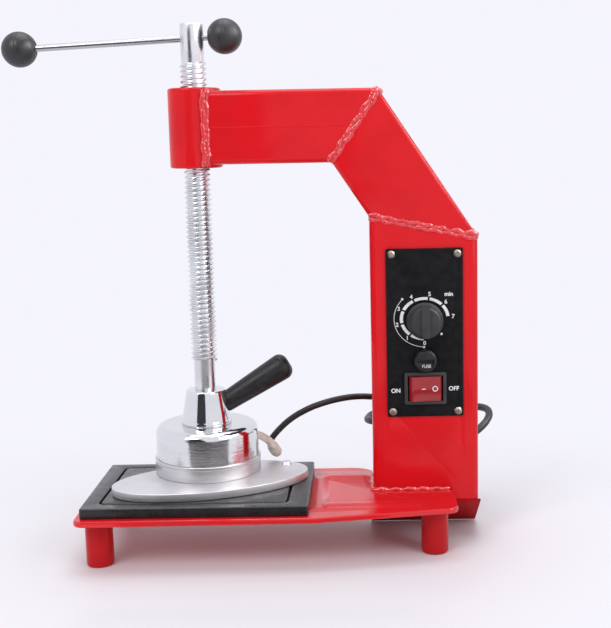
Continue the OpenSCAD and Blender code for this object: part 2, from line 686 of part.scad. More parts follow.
module panel_screws() piece(ZINC) panel_holes() {
    along_y(0, panel_y - 0.1, 0, panel_screw_d, panel_screw_l);
    translate([0, panel_y, 0]) rotate([90, 0, 0]) difference() {
        rotate_extrude() polygon([
            [0, 0], [0.95 * panel_screw_d, 0], [0.95 * panel_screw_d, 1], [0.6 * panel_screw_d, 2], [0, 2.1]]);
        for (a = [0, 90]) rotate([0, 0, a]) translate([-1.6, -0.35, 1.2]) cube([3.2, 0.7, 2]);
    }
}
module timer_case() piece(GREY) difference() {
    union() {
        along_y(panel_x, front_y, panel_z + timer_z, timer_d, timer_l);
        along_y(panel_x, panel_y, panel_z + timer_z, shaft_d + 3.6, panel_t + 1);
    }
    along_y(panel_x, panel_y - 1, panel_z + timer_z, shaft_d + 2 * run_gap, timer_l - 2);
}
shaft_out = 10;
module timer_shaft() piece(ZINC) difference() {
    along_y(panel_x, panel_y - shaft_out, panel_z + timer_z, shaft_d, shaft_out + timer_l - 6);
    translate([panel_x - shaft_d, panel_y - shaft_out - 1, panel_z + timer_z - shaft_d / 2 - 1])
        cube([2 * shaft_d, shaft_out - 1, 1 + shaft_d / 4]);
}
module timer_knob() piece(BLACK) translate([panel_x, panel_y - work_gap, panel_z + timer_z]) rotate([90, 0, 0])
    difference() {
        union() {
            rotate_extrude() polygon([
                [0, 0], [knob_d / 2, 0], [knob_d / 2, 2.4], [knob_d / 2 - 1.2, 3.2],
                [knob_d / 2 - 2.4, knob_h - 3.6], [knob_d / 2 - 3.4, knob_h - 2.6], [0, knob_h - 2.6]]);
            translate([-3, -knob_d / 2 + 2.6, 2]) cube([6, knob_d - 4.4, knob_h - 2]);
        }
        intersection() {
            translate([0, 0, -1]) cylinder(d = shaft_d + 2 * fit_gap, h = shaft_out + 1);
            translate([-shaft_d, -shaft_d / 4 - fit_gap, -1]) cube([2 * shaft_d, 2 * shaft_d, shaft_out + 1]);
        }
        translate([0, 0, -1]) cylinder(d = shaft_d + 5, h = 2.6);
        translate([0, 0, -1]) cylinder(d = shaft_d + 2 * fit_gap, h = 3.6);
    }
module fuse_holder() piece(BLACK) difference() {
    union() {
        along_y(panel_x, panel_y, panel_z + fuse_z, fuse_body_d, fuse_body_l);
        along_y(panel_x, panel_y - 1.6, panel_z + fuse_z, fuse_cap_d - 1, 1.6);
    }
    along_y(panel_x, panel_y - 3, panel_z + fuse_z, 6.4, fuse_body_l);
}
module glass_fuse() piece(CHROME) along_y(panel_x, panel_y + 5, panel_z + fuse_z, 5.2, fuse_body_l - 8);
module fuse_cap() piece(BLACK) translate([panel_x, panel_y - 1.6 - work_gap, panel_z + fuse_z]) rotate([90, 0, 0])
    difference() {
        union() {
            rotate_extrude() polygon([
                [0, 0], [fuse_cap_d / 2, 0], [fuse_cap_d / 2, fuse_cap_h - 3.4],
                [fuse_cap_d / 2 - 1, fuse_cap_h - 2],
                [0, fuse_cap_h - 2]]);
            translate([0, 0, -4]) cylinder(d = 5.6, h = 5);
        }
        translate([-fuse_cap_d / 2 + 2.4, -0.9, fuse_cap_h - 4]) cube([fuse_cap_d - 4.8, 1.8, 4]);
    }
rocker_r = switch_w / 2 - switch_rim;
rocker_h = switch_h - 2 * switch_rim;
rocker_y = panel_y + 3;
rocker_room = 15;
switch_l = 20;
module switch_frame() piece(BLACK) translate([panel_x, panel_y, panel_z + switch_z]) difference() {
    union() {
        rotate([90, 0, 0]) linear_extrude(2) rounded(switch_w, switch_h, 1.5);
        switch_box(0, switch_l);
    }
    translate([-rocker_r - work_gap, -4, -rocker_h / 2 - work_gap])
        cube([2 * (rocker_r + work_gap), rocker_room, rocker_h + 2 * work_gap]);
    translate([0, rocker_y - panel_y, -switch_h / 2 + 1.6]) cylinder(d = 3 + 2 * run_gap, h = switch_h - 3.2);
}
module rocker() piece(RED) translate([panel_x, rocker_y, panel_z + switch_z]) rotate([0, 0, rocker_tilt]) {
    linear_extrude(rocker_h, center = true) intersection() {
        circle(rocker_r);
        polygon([[-rocker_r, -8.2], [0, -6.2], [rocker_r, -8.2], [rocker_r, -2], [3, 3], [-3, 3],
                 [-rocker_r, -2]]);
    }
    cylinder(d = 3, h = switch_h - 3.6, center = true);
}
module terminal_block() piece(BEIGE)
    translate([panel_x - terminal_w / 2, rear_y - tube_wall - terminal_t, terminal_z]) difference() {
        cube([terminal_w, terminal_t, terminal_l]);
        for (i = [0:3]) translate([(i + 0.5) * terminal_w / 4, 0, 0]) {
            translate([0, -1, terminal_l / 2]) rotate([-90, 0, 0])
                cylinder(d = terminal_w / 8, h = terminal_t / 2 + 1);
            translate([0, 0.6 * terminal_t, -1]) cylinder(d = 0.08 * terminal_w, h = terminal_l + 2);
        }
    }

// Cords
module lead_grommet() piece(BLACK) translate([lead_entry[0], rear_y, lead_entry[1]]) rotate([-90, 0, 0])
    difference() {
        union() {
            translate([0, 0, -tube_wall - 1]) cylinder(d = grommet_d, h = tube_wall + 1.5);
            cylinder(d = grommet_d + 4, h = 2);
        }
        translate([0, 0, -tube_wall - 2]) cylinder(d = lead_d + 0.8, h = tube_wall + 6);
    }
module cord_gland() piece(BLACK) {
    along_y(gland_x, rear_y - tube_wall - 2, gland_z, cord_d + 4, tube_wall + 4);
    along_y(gland_x, rear_y, gland_z, cord_d + 8, 3);
    along_y(gland_x, rear_y + 2, gland_z, cord_d + 5, gland_y - rear_y - 2);
    translate([gland_x, gland_y, gland_z]) sphere(d = cord_d + 5);
    translate([gland_x, gland_y, gland_z]) rotate([0, -90, 0])
        cylinder(d1 = cord_d + 5, d2 = cord_d + 1.6, h = gland_l);
}
module heater_lead_head() piece(BLACK) sweep(lead_head_route, lead_d, 8);
module heater_lead_column() piece(BLACK) sweep(lead_column_route, lead_d, 8);
function coil_point(s) = let (a = coil_first - 360 * (s + coil_half), r = coil_r + coil_step * abs(s))
    [coil_x + r * cos(a), coil_y + r * sin(a), coil_z + coil_step * (0.5 - min(max(2 * s, -0.5), 0.5))];
coil_points = [for (i = [0:coil_turns * coil_rings]) coil_point(i / coil_rings - coil_half)];
coil_end = coil_points[len(coil_points) - 1];
cord_end = [for (x = [6.5, 0.7]) coil_points[0] - [x, 0, 0]];
module mains_cord() piece(BLACK) sweep(concat(cord_route, cord_end), cord_d, 8);
module cord_coil() piece(BLACK) sweep(concat(coil_points, [coil_end + [0, cord_d, 0]]), cord_d, 6);
tie_w = coil_step * coil_half + cord_d + 3;
tie_y = coil_y - coil_r + cord_d / 2 + 1.5 - tie_w;
tie_h = coil_z + coil_step + cord_d / 2 + 1.6;
tie_t = 0.9;
module cord_tie() piece(GREY) translate([coil_x - cord_d / 2, tie_y, 0]) difference() {
    cube([cord_d, tie_w, tie_h]);
    translate([-1, tie_t, tie_t]) cube([cord_d + 2, tie_w - 2 * tie_t, tie_h - 2 * tie_t]);
}
module plug_frame() { translate([coil_end[0], coil_end[1] + cord_d + 0.3, coil_end[2]]) children(); }
module plug() piece(BLACK) plug_frame() rotate([-90, 0, 0]) {
    cylinder(d1 = cord_d + 1, d2 = cord_d + 2, h = 13);
    translate([0, 0, 12]) linear_extrude(plug_l - 12) intersection() {
        circle(d = plug_w);
        square([plug_w, cord_d + 2.2], center = true);
    }
}
module plug_pins() piece(BRASS) plug_frame() for (x = [-1, 1])
    along_y(x * plug_w / 3.4, plug_l, 0, pin_d, pin_l);

// Least gap between turns of the coil, measured on its points
coil_gap = min([for (i = [0:len(coil_points) - 1], j = [i + coil_rings / 2:1:len(coil_points) - 1])
    norm(coil_points[i] - coil_points[j])]) - cord_d;
echo(coil_gap = coil_gap);

base_plate();
foot_front_left();
foot_front_right();
foot_rear_left();
column_tube();
heel_plate();
neck_tube();
arm_tube();
nut_boss();
pad_tray();
pad_insert();
oval_plate();
plate_screw();
heater_block();
heater_element();
insulation_disc();
thermostat();
heater_cup();
cone_bolt();
cone_collar();
set_screws();
grip_stud();
head_grip();
lead_bushing();
lead_sleeve();
thrust_washer();
clamp_screw();
t_bar();
ball_knob_left();
ball_knob_right();
control_panel();
panel_screws();
timer_case();
timer_shaft();
timer_knob();
fuse_holder();
glass_fuse();
fuse_cap();
switch_frame();
rocker();
terminal_block();
lead_grommet();
cord_gland();
heater_lead_head();
heater_lead_column();
mains_cord();
cord_coil();
cord_tie();
plug();
plug_pins();
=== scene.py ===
"""Bench tyre vulcanizer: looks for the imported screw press, its heated head, controls and cords."""

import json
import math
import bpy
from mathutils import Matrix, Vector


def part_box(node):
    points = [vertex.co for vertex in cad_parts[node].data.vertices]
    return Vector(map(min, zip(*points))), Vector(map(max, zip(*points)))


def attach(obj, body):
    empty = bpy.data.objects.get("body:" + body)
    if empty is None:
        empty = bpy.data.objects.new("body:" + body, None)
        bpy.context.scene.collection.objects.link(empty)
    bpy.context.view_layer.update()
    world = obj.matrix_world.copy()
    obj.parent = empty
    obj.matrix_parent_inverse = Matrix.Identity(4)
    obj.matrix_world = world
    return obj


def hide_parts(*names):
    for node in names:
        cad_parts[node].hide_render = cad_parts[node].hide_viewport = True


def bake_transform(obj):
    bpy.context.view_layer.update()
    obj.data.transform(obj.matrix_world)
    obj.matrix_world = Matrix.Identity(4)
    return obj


bl_info = {
    "name": "Bench Vulcanizer",
    "version": (1, 0, 0),
    "blender": (4, 5, 0),
    "location": "View3D > Sidebar > Vulcanizer",
    "description": "Dresses the packed tyre vulcanizer with paint, chrome, thread, dial and cords",
    "category": "Object",
}

import bpy
from mathutils import Matrix, Vector

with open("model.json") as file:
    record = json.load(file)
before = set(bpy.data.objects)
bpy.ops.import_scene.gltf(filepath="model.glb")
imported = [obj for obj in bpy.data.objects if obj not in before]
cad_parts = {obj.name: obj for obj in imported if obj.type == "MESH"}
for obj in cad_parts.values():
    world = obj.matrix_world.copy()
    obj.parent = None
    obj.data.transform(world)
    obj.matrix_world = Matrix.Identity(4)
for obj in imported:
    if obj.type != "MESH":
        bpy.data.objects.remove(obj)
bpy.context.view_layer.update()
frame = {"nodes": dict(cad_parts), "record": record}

MM = 0.001
RECORD = frame["record"]
JOINTS = {joint["name"]: joint for joint in RECORD["behaviour"]["joints"]}
AXIS = Vector(JOINTS["head_swivel"]["pos_m"])
KNOB = Vector(JOINTS["knob_turn"]["pos_m"])
FUSE = Vector(JOINTS["fuse_cap_turn"]["pos_m"])
PIVOT = Vector(JOINTS["rocker_tilt"]["pos_m"])
BAR_WAY = Vector(JOINTS["tbar_slide"]["axis"])
SWITCH_TILT = math.radians(JOINTS["rocker_tilt"]["range_deg"][1] / 2)


def at(x, y, z):
    """A point given in millimetres from the screw axis and the floor, in the row frame."""
    return Vector((AXIS.x + x * MM, AXIS.y + y * MM, z * MM))


def middle(node):
    """Middle of a CAD node's box."""
    low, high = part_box(node)
    return (low + high) / 2


# User settings

COLOUR = dict(subtype="COLOR", size=3, min=0, max=1)


class VulcanizerColours(bpy.types.PropertyGroup):
    """Colours of the finishes, as linear values."""

    red: bpy.props.FloatVectorProperty(
        name="Red paint", description="Gloss paint of the frame", default=(0.74, 0.008, 0.014), **COLOUR)
    black: bpy.props.FloatVectorProperty(
        name="Black", description="Knobs, balls, panel and cords", default=(0.012, 0.012, 0.013), **COLOUR)
    rubber: bpy.props.FloatVectorProperty(
        name="Pad rubber", description="Rubber of the pressing pad", default=(0.011, 0.011, 0.012), **COLOUR)
    chrome: bpy.props.FloatVectorProperty(
        name="Chrome", description="Polished cup and cone", default=(0.78, 0.79, 0.80), **COLOUR)
    aluminium: bpy.props.FloatVectorProperty(
        name="Aluminium", description="Heater block and oval plate", default=(0.70, 0.69, 0.70), **COLOUR)
    zinc: bpy.props.FloatVectorProperty(
        name="Zinc", description="Screw, bar and fasteners", default=(0.84, 0.85, 0.86), **COLOUR)
    sleeve: bpy.props.FloatVectorProperty(
        name="Sleeve", description="Sleeve of the heater wires", default=(0.80, 0.72, 0.64), **COLOUR)
    rocker: bpy.props.FloatVectorProperty(
        name="Rocker", description="Red plastic of the rocker", default=(0.36, 0.010, 0.014), **COLOUR)
    marks: bpy.props.FloatVectorProperty(
        name="Marks", description="Printing on the panel", default=(0.88, 0.88, 0.89), **COLOUR)
    floor: bpy.props.FloatVectorProperty(
        name="Floor", description="Pale floor under the machine", default=(0.86, 0.85, 0.91), **COLOUR)


class VulcanizerSizes(bpy.types.PropertyGroup):
    """Sizes of the details that the scene adds."""

    soft_edge: bpy.props.FloatProperty(
        name="Soft edge", description="Rounding of painted edges",
        default=0.0008, min=0.0001, max=0.003, unit="LENGTH")
    pitch: bpy.props.FloatProperty(
        name="Pitch", description="Rise of the clamp screw in one turn",
        default=0.0037, min=0.002, max=0.006, unit="LENGTH")
    weld_radius: bpy.props.FloatProperty(
        name="Weld", description="Radius of one ridge of a weld bead",
        default=0.0022, min=0.001, max=0.005, unit="LENGTH")
    digit_height: bpy.props.FloatProperty(
        name="Digits", description="Height of the dial's figures",
        default=0.0031, min=0.002, max=0.008, unit="LENGTH")
    dial_radius: bpy.props.FloatProperty(
        name="Dial ring", description="Radius of the timer's printed ring",
        default=0.0174, min=0.014, max=0.022, unit="LENGTH")
    print_lift: bpy.props.FloatProperty(
        name="Print", description="Half the thickness of the printing",
        default=0.00008, min=0.00002, max=0.0005, unit="LENGTH")


def colours():
    return bpy.context.scene.vulcanizer_colours


def sizes():
    return bpy.context.scene.vulcanizer_sizes


# Mesh tools

MERGE = 1e-6
MERGE_FINE = 1e-7
FLAT_ANGLE = math.radians(0.6)
OUTWARD = (bpy.ops.mesh.normals_make_consistent, {"inside": False})


def clear_selection():
    """Leaves nothing selected, in object mode."""
    if bpy.context.object and bpy.context.object.mode != "OBJECT":
        bpy.ops.object.mode_set(mode="OBJECT")
    bpy.ops.object.select_all(action="DESELECT")


def pick(obj):
    """Makes obj the only selected and the active object."""
    clear_selection()
    obj.select_set(True)
    bpy.context.view_layer.objects.active = obj
    return obj


def named(name):
    """Names the object that an operator has just added, and its mesh."""
    obj = bpy.context.object
    obj.name = name
    obj.data.name = name
    return obj


def settle(obj, place=None):
    """Puts the object's place into its mesh, so that the object sits at the origin."""
    pick(obj)
    if place is not None:
        obj.matrix_world = place @ obj.matrix_world
    bpy.ops.object.transform_apply(location=True, rotation=True, scale=True)
    return obj


def apply_modifiers(obj):
    """Puts the object's modifiers into its mesh."""
    pick(obj)
    for modifier in list(obj.modifiers):
        bpy.ops.object.modifier_apply(modifier=modifier.name)
    return obj


def smooth(obj, degrees=32):
    """Smooth shading that keeps edges sharper than the angle."""
    pick(obj)
    bpy.ops.object.shade_smooth_by_angle(angle=math.radians(degrees))
    return obj


def from_points(name, points, edges=(), faces=()):
    """A new mesh object from a few points, selected and active."""
    mesh = bpy.data.meshes.new(name)
    mesh.from_pydata([tuple(p) for p in points], edges, faces)
    return placed(name, mesh)


def placed(name, data):
    """A new object with the given mesh or curve, selected and active."""
    obj = bpy.data.objects.new(name, data)
    bpy.context.scene.collection.objects.link(obj)
    return pick(obj)


def edit(*steps):
    """Runs mesh operators, each with its options, on the whole active mesh."""
    bpy.ops.object.mode_set(mode="EDIT")
    for operator, options in steps:
        bpy.ops.mesh.select_all(action="SELECT")
        operator(**options)
    bpy.ops.object.mode_set(mode="OBJECT")


def merged(distance):
    """Editing step that merges near points."""
    return bpy.ops.mesh.remove_doubles, {"threshold": distance}


def raised(obj, depth):
    """Gives a flat print its thickness toward the front."""
    edit((bpy.ops.mesh.extrude_region_move, {"TRANSFORM_OT_translate": {"value": (0, -depth, 0)}}), OUTWARD)
    return settle(obj)


def turned(name, profile, place, steps=96):
    """A turned piece: a profile of (radius, height) in millimetres, spun round Z and put in place."""
    points = [(r * MM, 0.0, z * MM) for r, z in profile]
    obj = from_points(name, points, [(i, i + 1) for i in range(len(points) - 1)])
    spin = {"steps": steps, "angle": 2 * math.pi, "center": (0, 0, 0), "axis": (0, 0, 1)}
    edit((bpy.ops.mesh.spin, spin), merged(MERGE), OUTWARD)
    return smooth(settle(obj, place))


def quarter(r, z, radius, first, last, steps=8):
    """Points of an arc in a profile, from one angle in degrees to another."""
    angles = [math.radians(first + (last - first) * i / steps) for i in range(steps + 1)]
    return [(r + radius * math.cos(a), z + radius * math.sin(a)) for a in angles]


def softened(node, width, segments=2, limit=38, crisp=30):
    """A copy of a CAD node with rounded edges, which stands for the node."""
    obj = placed(node + "_soft", frame["nodes"][node].data.copy())
    edit(merged(MERGE), (bpy.ops.mesh.dissolve_limited, {"angle_limit": FLAT_ANGLE}))
    bevel = obj.modifiers.new("soft_edge", "BEVEL")
    bevel.width = width
    bevel.segments = segments
    bevel.limit_method = "ANGLE"
    bevel.angle_limit = math.radians(limit)
    apply_modifiers(obj)
    smooth(obj, crisp)
    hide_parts(node)
    return obj


def keep(obj, body, look):
    """Gives a finished piece its finish and the body that it moves with."""
    obj.data.materials.clear()
    obj.data.materials.append(finish(look))
    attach(obj, body)
    return obj


def smooth_route(points, steps):
    """Points of a smooth curve through the given ones."""
    line = [Vector(p) for p in points]
    route = []
    for i in range(len(line) - 1):
        a = line[max(i - 1, 0)]
        b, c = line[i], line[i + 1]
        d = line[min(i + 2, len(line) - 1)]
        for k in range(steps):
            t = k / steps
            route.append(0.5 * (2 * b + (c - a) * t + (2 * a - 5 * b + 4 * c - d) * t * t
                                + (3 * b - a - 3 * c + d) * t ** 3))
    return route + [line[-1]]


def tube(name, route, radius, swell=None, sides=3):
    """A closed round tube along points, made as a curve and converted; swell gives each point's share."""
    curve = bpy.data.curves.new(name, "CURVE")
    curve.dimensions = "3D"
    curve.bevel_depth = radius
    curve.bevel_resolution = sides
    curve.use_fill_caps = True
    spline = curve.splines.new("POLY")
    spline.points.add(len(route) - 1)
    for i, point in enumerate(route):
        spline.points[i].co = (*point, 1)
        spline.points[i].radius = swell[i] if swell else 1.0
    placed(name, curve)
    bpy.ops.object.convert(target="MESH")
    obj = named(name)
    edit(merged(MERGE_FINE), OUTWARD)
    return smooth(obj, degrees=50)


LETTER_SHARE = 1.4


def lettering(name, text, height, centre, lift, bold=0.0001):
    """Printed figures that face the front, as thin meshes; bold widens their strokes."""
    clear_selection()
    bpy.ops.object.text_add()
    obj = named(name)
    obj.data.body = text
    obj.data.size = height * LETTER_SHARE
    obj.data.align_x = "CENTER"
    obj.data.align_y = "CENTER"
    obj.data.extrude = lift
    obj.data.offset = bold
    obj.data.resolution_u = 6
    bpy.ops.object.convert(target="MESH")
    obj = named(name)
    return settle(obj, Matrix.Translation(centre) @ Matrix.Rotation(math.pi / 2, 4, "X"))


def clock(degrees, squash=1.0):
    """Direction on the panel's front, clockwise from the top; squash flattens the dial."""
    a = math.radians(degrees)
    return Vector((math.sin(a), 0, squash * math.cos(a)))


def ring_arc(name, centre, inner, outer, first, last, lift, squash=1.0):
    """A printed arc on the panel's front, between two angles clockwise from the top."""
    steps = max(3, int(abs(last - first) / 4))
    points = []
    for i in range(steps + 1):
        way = clock(first + (last - first) * i / steps, squash)
        points += [centre + way * r for r in (inner, outer)]
    faces = [(2 * i, 2 * i + 1, 2 * i + 3, 2 * i + 2) for i in range(steps)]
    return raised(from_points(name, points, [], faces), 2 * lift)


def joined(name, pieces):
    """Several finished meshes as one piece."""
    clear_selection()
    for piece in pieces:
        piece.select_set(True)
    bpy.context.view_layer.objects.active = pieces[0]
    bpy.ops.object.join()
    return named(name)


# Shader groups

def new_group(name, inputs, outputs):
    """An empty shader group with its sockets, and its input and output nodes."""
    group = bpy.data.node_groups.new(name, "ShaderNodeTree")
    for label, kind, value in inputs:
        socket = group.interface.new_socket(label, in_out="INPUT", socket_type=kind)
        socket.default_value = value
    for label, kind in outputs:
        group.interface.new_socket(label, in_out="OUTPUT", socket_type=kind)
    return group, group.nodes.new("NodeGroupInput"), group.nodes.new("NodeGroupOutput")


def add_node(tree, kind, **settings):
    """A shader node; a lower-case setting is the node's own, another one names an input."""
    node = tree.nodes.new("ShaderNode" + kind)
    for label, value in settings.items():
        if label.islower():
            setattr(node, label, value)
        else:
            node.inputs[label.replace("_", " ")].default_value = value
    return node


def wire(tree, *rows):
    """Links nodes; each row has a node and its output, then a node and its input."""
    for source, output, target, into in rows:
        tree.links.new(source.outputs[output], target.inputs[into])


BROAD_SHARE = 0.09


def grain_group():
    """Fine mottle at two scales: a height for bump and a mask for colour and gloss."""
    found = bpy.data.node_groups.get("fine_grain")
    if found:
        return found
    tree, source, sink = new_group(
        "fine_grain",
        [("Scale", "NodeSocketFloat", 300.0), ("Stretch", "NodeSocketVector", (1, 1, 1))],
        [("Height", "NodeSocketFloat"), ("Mask", "NodeSocketFloat")])
    place = add_node(tree, "TexCoord")
    scaled = add_node(tree, "VectorMath", operation="MULTIPLY")
    fine = add_node(tree, "TexNoise", Detail=6)
    broad_scale = add_node(tree, "Math", operation="MULTIPLY")
    broad_scale.inputs[1].default_value = BROAD_SHARE
    broad = add_node(tree, "TexNoise", Detail=3)
    contrast = add_node(tree, "MapRange", From_Min=0.38, From_Max=0.66)
    wire(tree, (place, "Object", scaled, 0), (source, "Stretch", scaled, 1),
         (scaled, "Vector", fine, "Vector"), (scaled, "Vector", broad, "Vector"),
         (source, "Scale", fine, "Scale"), (source, "Scale", broad_scale, 0),
         (broad_scale, "Value", broad, "Scale"), (broad, "Fac", contrast, "Value"),
         (fine, "Fac", sink, "Height"), (contrast, "Result", sink, "Mask"))
    return tree


def dust_group():
    """A thin film on faces that look up, broken by noise."""
    found = bpy.data.node_groups.get("dust_film")
    if found:
        return found
    tree, source, sink = new_group(
        "dust_film", [("Amount", "NodeSocketFloat", 0.2)], [("Mask", "NodeSocketFloat")])
    shape = add_node(tree, "NewGeometry")
    parts = add_node(tree, "SeparateXYZ")
    up = add_node(tree, "MapRange", From_Min=0.2)
    place = add_node(tree, "TexCoord")
    noise = add_node(tree, "TexNoise", Scale=60, Detail=5)
    both = add_node(tree, "Math", operation="MULTIPLY")
    share = add_node(tree, "Math", operation="MULTIPLY")
    wire(tree, (shape, "Normal", parts, "Vector"), (parts, "Z", up, "Value"),
         (place, "Object", noise, "Vector"), (up, "Result", both, 0), (noise, "Fac", both, 1),
         (both, "Value", share, 0), (source, "Amount", share, 1), (share, "Value", sink, "Mask"))
    return tree


# Finishes

COAT_ROUGHNESS = 0.06
DUST_COLOUR = (0.5, 0.48, 0.46, 1)
EVEN = (1, 1, 1)
PAINT = dict(grain=260.0, bump=0.16, depth=0.0002)
METAL = dict(metallic=1.0)

# Each row: a colour setting with two shares of it, or None with two fixed colours, roughness, the rest
FINISHES = {
    "red_paint": ("red", (1, 0.9), (0.16, 0.26), dict(PAINT, coat=0.04, dust=0.02, specular=0.22)),
    "base_paint": ("red", (1, 0.9), (0.16, 0.26), dict(PAINT, coat=0.15, dust=0.02)),
    # Heel: a darker copy of the frame's red, painted shade for its underside that faces the floor
    "heel_paint": ("red", (0.55, 0.5), (0.55, 0.65), dict(PAINT, specular=0.08)),
    # Feet: a darker copy of the frame's red, painted shade for their low place near the floor
    "foot_paint": ("red", (0.72, 0.64), (0.3, 0.42), dict(PAINT, bump=0.2, dust=0.03, specular=0.2)),
    # Welds: a lighter copy of the frame's red, a painted highlight, with a glossier coat that is real
    "weld_paint": ("red", (1.05, 0.9), (0.1, 0.2),
                   dict(grain=700.0, bump=0.4, depth=0.0004, coat=0.7, specular=0.8)),
    "black_plastic": ("black", (1, 1.6), (0.34, 0.46), dict(grain=2400.0, bump=0.15, specular=0.35)),
    "black_gloss": ("black", (1.8, 2.6), (0.36, 0.48), dict(grain=900.0, bump=0.14)),
    "knob_plastic": ("black", (2.0, 2.8), (0.5, 0.6), dict(grain=1500.0, bump=0.3)),
    "panel_plastic": ("black", (0.7, 1.1), (0.38, 0.5), dict(grain=1800.0, bump=0.2, specular=0.08)),
    "cord_rubber": ("black", (1, 1.5), (0.36, 0.5), dict(grain=900.0, bump=0.12)),
    "pad_rubber": ("rubber", (1, 1.35), (0.24, 0.38),
                   dict(grain=1300.0, bump=0.08, depth=0.0002, dust=0.08)),
    "chrome": ("chrome", (1, 0.94), (0.05, 0.11),
               dict(METAL, grain=170.0, stretch=(0.5, 0.5, 5), bump=0.05)),
    "cup_chrome": ("chrome", (1, 0.9), (0.05, 0.12),
                   dict(METAL, grain=60.0, stretch=(1, 1, 14), bump=0.3, depth=0.0004)),
    "turned_aluminium": ("aluminium", (1, 0.86), (0.3, 0.42),
                         dict(METAL, grain=300.0, stretch=(1, 1, 14), bump=0.25)),
    "plate_aluminium": ("aluminium", (1, 0.9), (0.44, 0.56), dict(METAL, grain=500.0, bump=0.3)),
    "zinc_plate": ("zinc", (1, 0.82), (0.28, 0.42), dict(METAL, grain=420.0, bump=0.12)),
    "bar_steel": ("zinc", (0.62, 0.5), (0.2, 0.34), dict(METAL, grain=300.0, stretch=(0.2, 3, 3))),
    "thread_steel": ("zinc", (1, 0.84), (0.22, 0.36), dict(METAL, grain=700.0, bump=0.16)),
    "aged_zinc": (None, ((0.46, 0.43, 0.36), (0.30, 0.27, 0.22)), (0.3, 0.45),
                  dict(METAL, grain=900.0, bump=0.2)),
    "dark_steel": (None, ((0.16, 0.16, 0.17), (0.1, 0.1, 0.1)), (0.4, 0.55), METAL),
    "brass": (None, ((0.62, 0.44, 0.18), (0.5, 0.34, 0.13)), (0.24, 0.38), METAL),
    "sleeve_weave": ("sleeve", (1, 0.66), (0.7, 0.86),
                     dict(grain=1700.0, bump=0.6, depth=0.0004, specular=0.2)),
    "rocker_red": ("rocker", (1, 0.85), (0.12, 0.2), dict(grain=300.0, bump=0.03, coat=0.3)),
    "print_ink": ("marks", (1, 0.86), (0.5, 0.6), dict(grain=2500.0, bump=0.05)),
    "white_plastic": (None, ((0.7, 0.68, 0.62), (0.62, 0.6, 0.54)), (0.4, 0.5), {}),
    "grey_plastic": (None, ((0.10, 0.10, 0.11), (0.13, 0.13, 0.14)), (0.4, 0.55), {}),
    "fuse_glass": (None, ((0.8, 0.86, 0.88), (0.75, 0.82, 0.84)), (0.03, 0.06), dict(clear=0.9)),
    "studio_floor": ("floor", (1, 0.985), (0.5, 0.6), dict(grain=20.0, bump=0.0)),
    "dark_card": (None, ((0.02, 0.02, 0.025), (0.05, 0.05, 0.055)), (0.9, 0.95), {}),
    "grey_card": (None, ((0.8, 0.8, 0.81), (0.9, 0.9, 0.91)), (0.9, 0.95), {}),
    "bright_card": (None, ((0.8, 0.8, 0.8), (0.8, 0.8, 0.8)), (0.9, 0.95), dict(glow=7.0)),
}
FINISH_OF_NODE = {"panel_screws": "aged_zinc", "t_bar": "bar_steel"}
FINISH_OF_SLOT = {
    "black_rubber": "pad_rubber", "satin_aluminium": "plate_aluminium", "zinc_steel": "zinc_plate",
    "bright_chrome": "chrome", "red_plastic": "rocker_red", "beige_fabric": "sleeve_weave",
    "clear_glass": "fuse_glass",
}


def finish(name):
    """The named finish, made when it is first asked for."""
    found = bpy.data.materials.get(name + "_finish")
    if found:
        return found
    base, tones, gloss, rest = FINISHES[name]
    if base:
        colour = getattr(colours(), base)
        tones = [tuple(c * share for c in colour) for share in tones]
    return surface(name + "_finish", tones, gloss, **rest)


def surface(label, tones, gloss, metallic=0.0, grain=400.0, stretch=EVEN, bump=0.1, depth=0.00005,
            coat=0.0, dust=0.0, specular=0.5, clear=0.0, glow=0.0):
    """One surface: two colours mixed by the mottle, a range of roughness, bump, coat and dust."""
    material = bpy.data.materials.new(label)
    material.use_nodes = True
    tree = material.node_tree
    shader = tree.nodes["Principled BSDF"]
    for socket, value in (
        ("Metallic", metallic), ("Coat Weight", coat), ("Coat Roughness", COAT_ROUGHNESS),
        ("Specular IOR Level", specular), ("Transmission Weight", clear),
        ("Emission Color", (1, 1, 1, 1)), ("Emission Strength", glow),
    ):
        shader.inputs[socket].default_value = value
    mottle = add_node(tree, "Group", node_tree=grain_group(), Scale=grain, Stretch=stretch)
    mix = add_node(tree, "Mix", data_type="RGBA", A=(*tones[0], 1), B=(*tones[1], 1))
    rough = add_node(tree, "MapRange", To_Min=gloss[0], To_Max=gloss[1])
    relief = add_node(tree, "Bump", Strength=bump, Distance=depth)
    wire(tree, (mottle, "Mask", mix, "Factor"), (mottle, "Mask", rough, "Value"),
         (mottle, "Height", relief, "Height"), (relief, "Normal", shader, "Normal"),
         (rough, "Result", shader, "Roughness"))
    if dust:
        film = add_node(tree, "Group", node_tree=dust_group(), Amount=dust)
        over = add_node(tree, "Mix", data_type="RGBA", B=DUST_COLOUR)
        wire(tree, (film, "Mask", over, "Factor"), (mix, "Result", over, "A"))
        mix = over
    wire(tree, (mix, "Result", shader, "Base Color"))
    return material


# Camera

PHOTO_HEIGHT = 628
SENSOR = 36.0
FOCAL_PIXELS = 1147.41
CENTRE_PIXEL = 357.0
PHOTO_MIDDLE = 305.5
CAMERA_AT = (117.63, -864.60, 308.71)
CAMERA_DOWN = 8.94
CAMERA_ROLL = -1.08


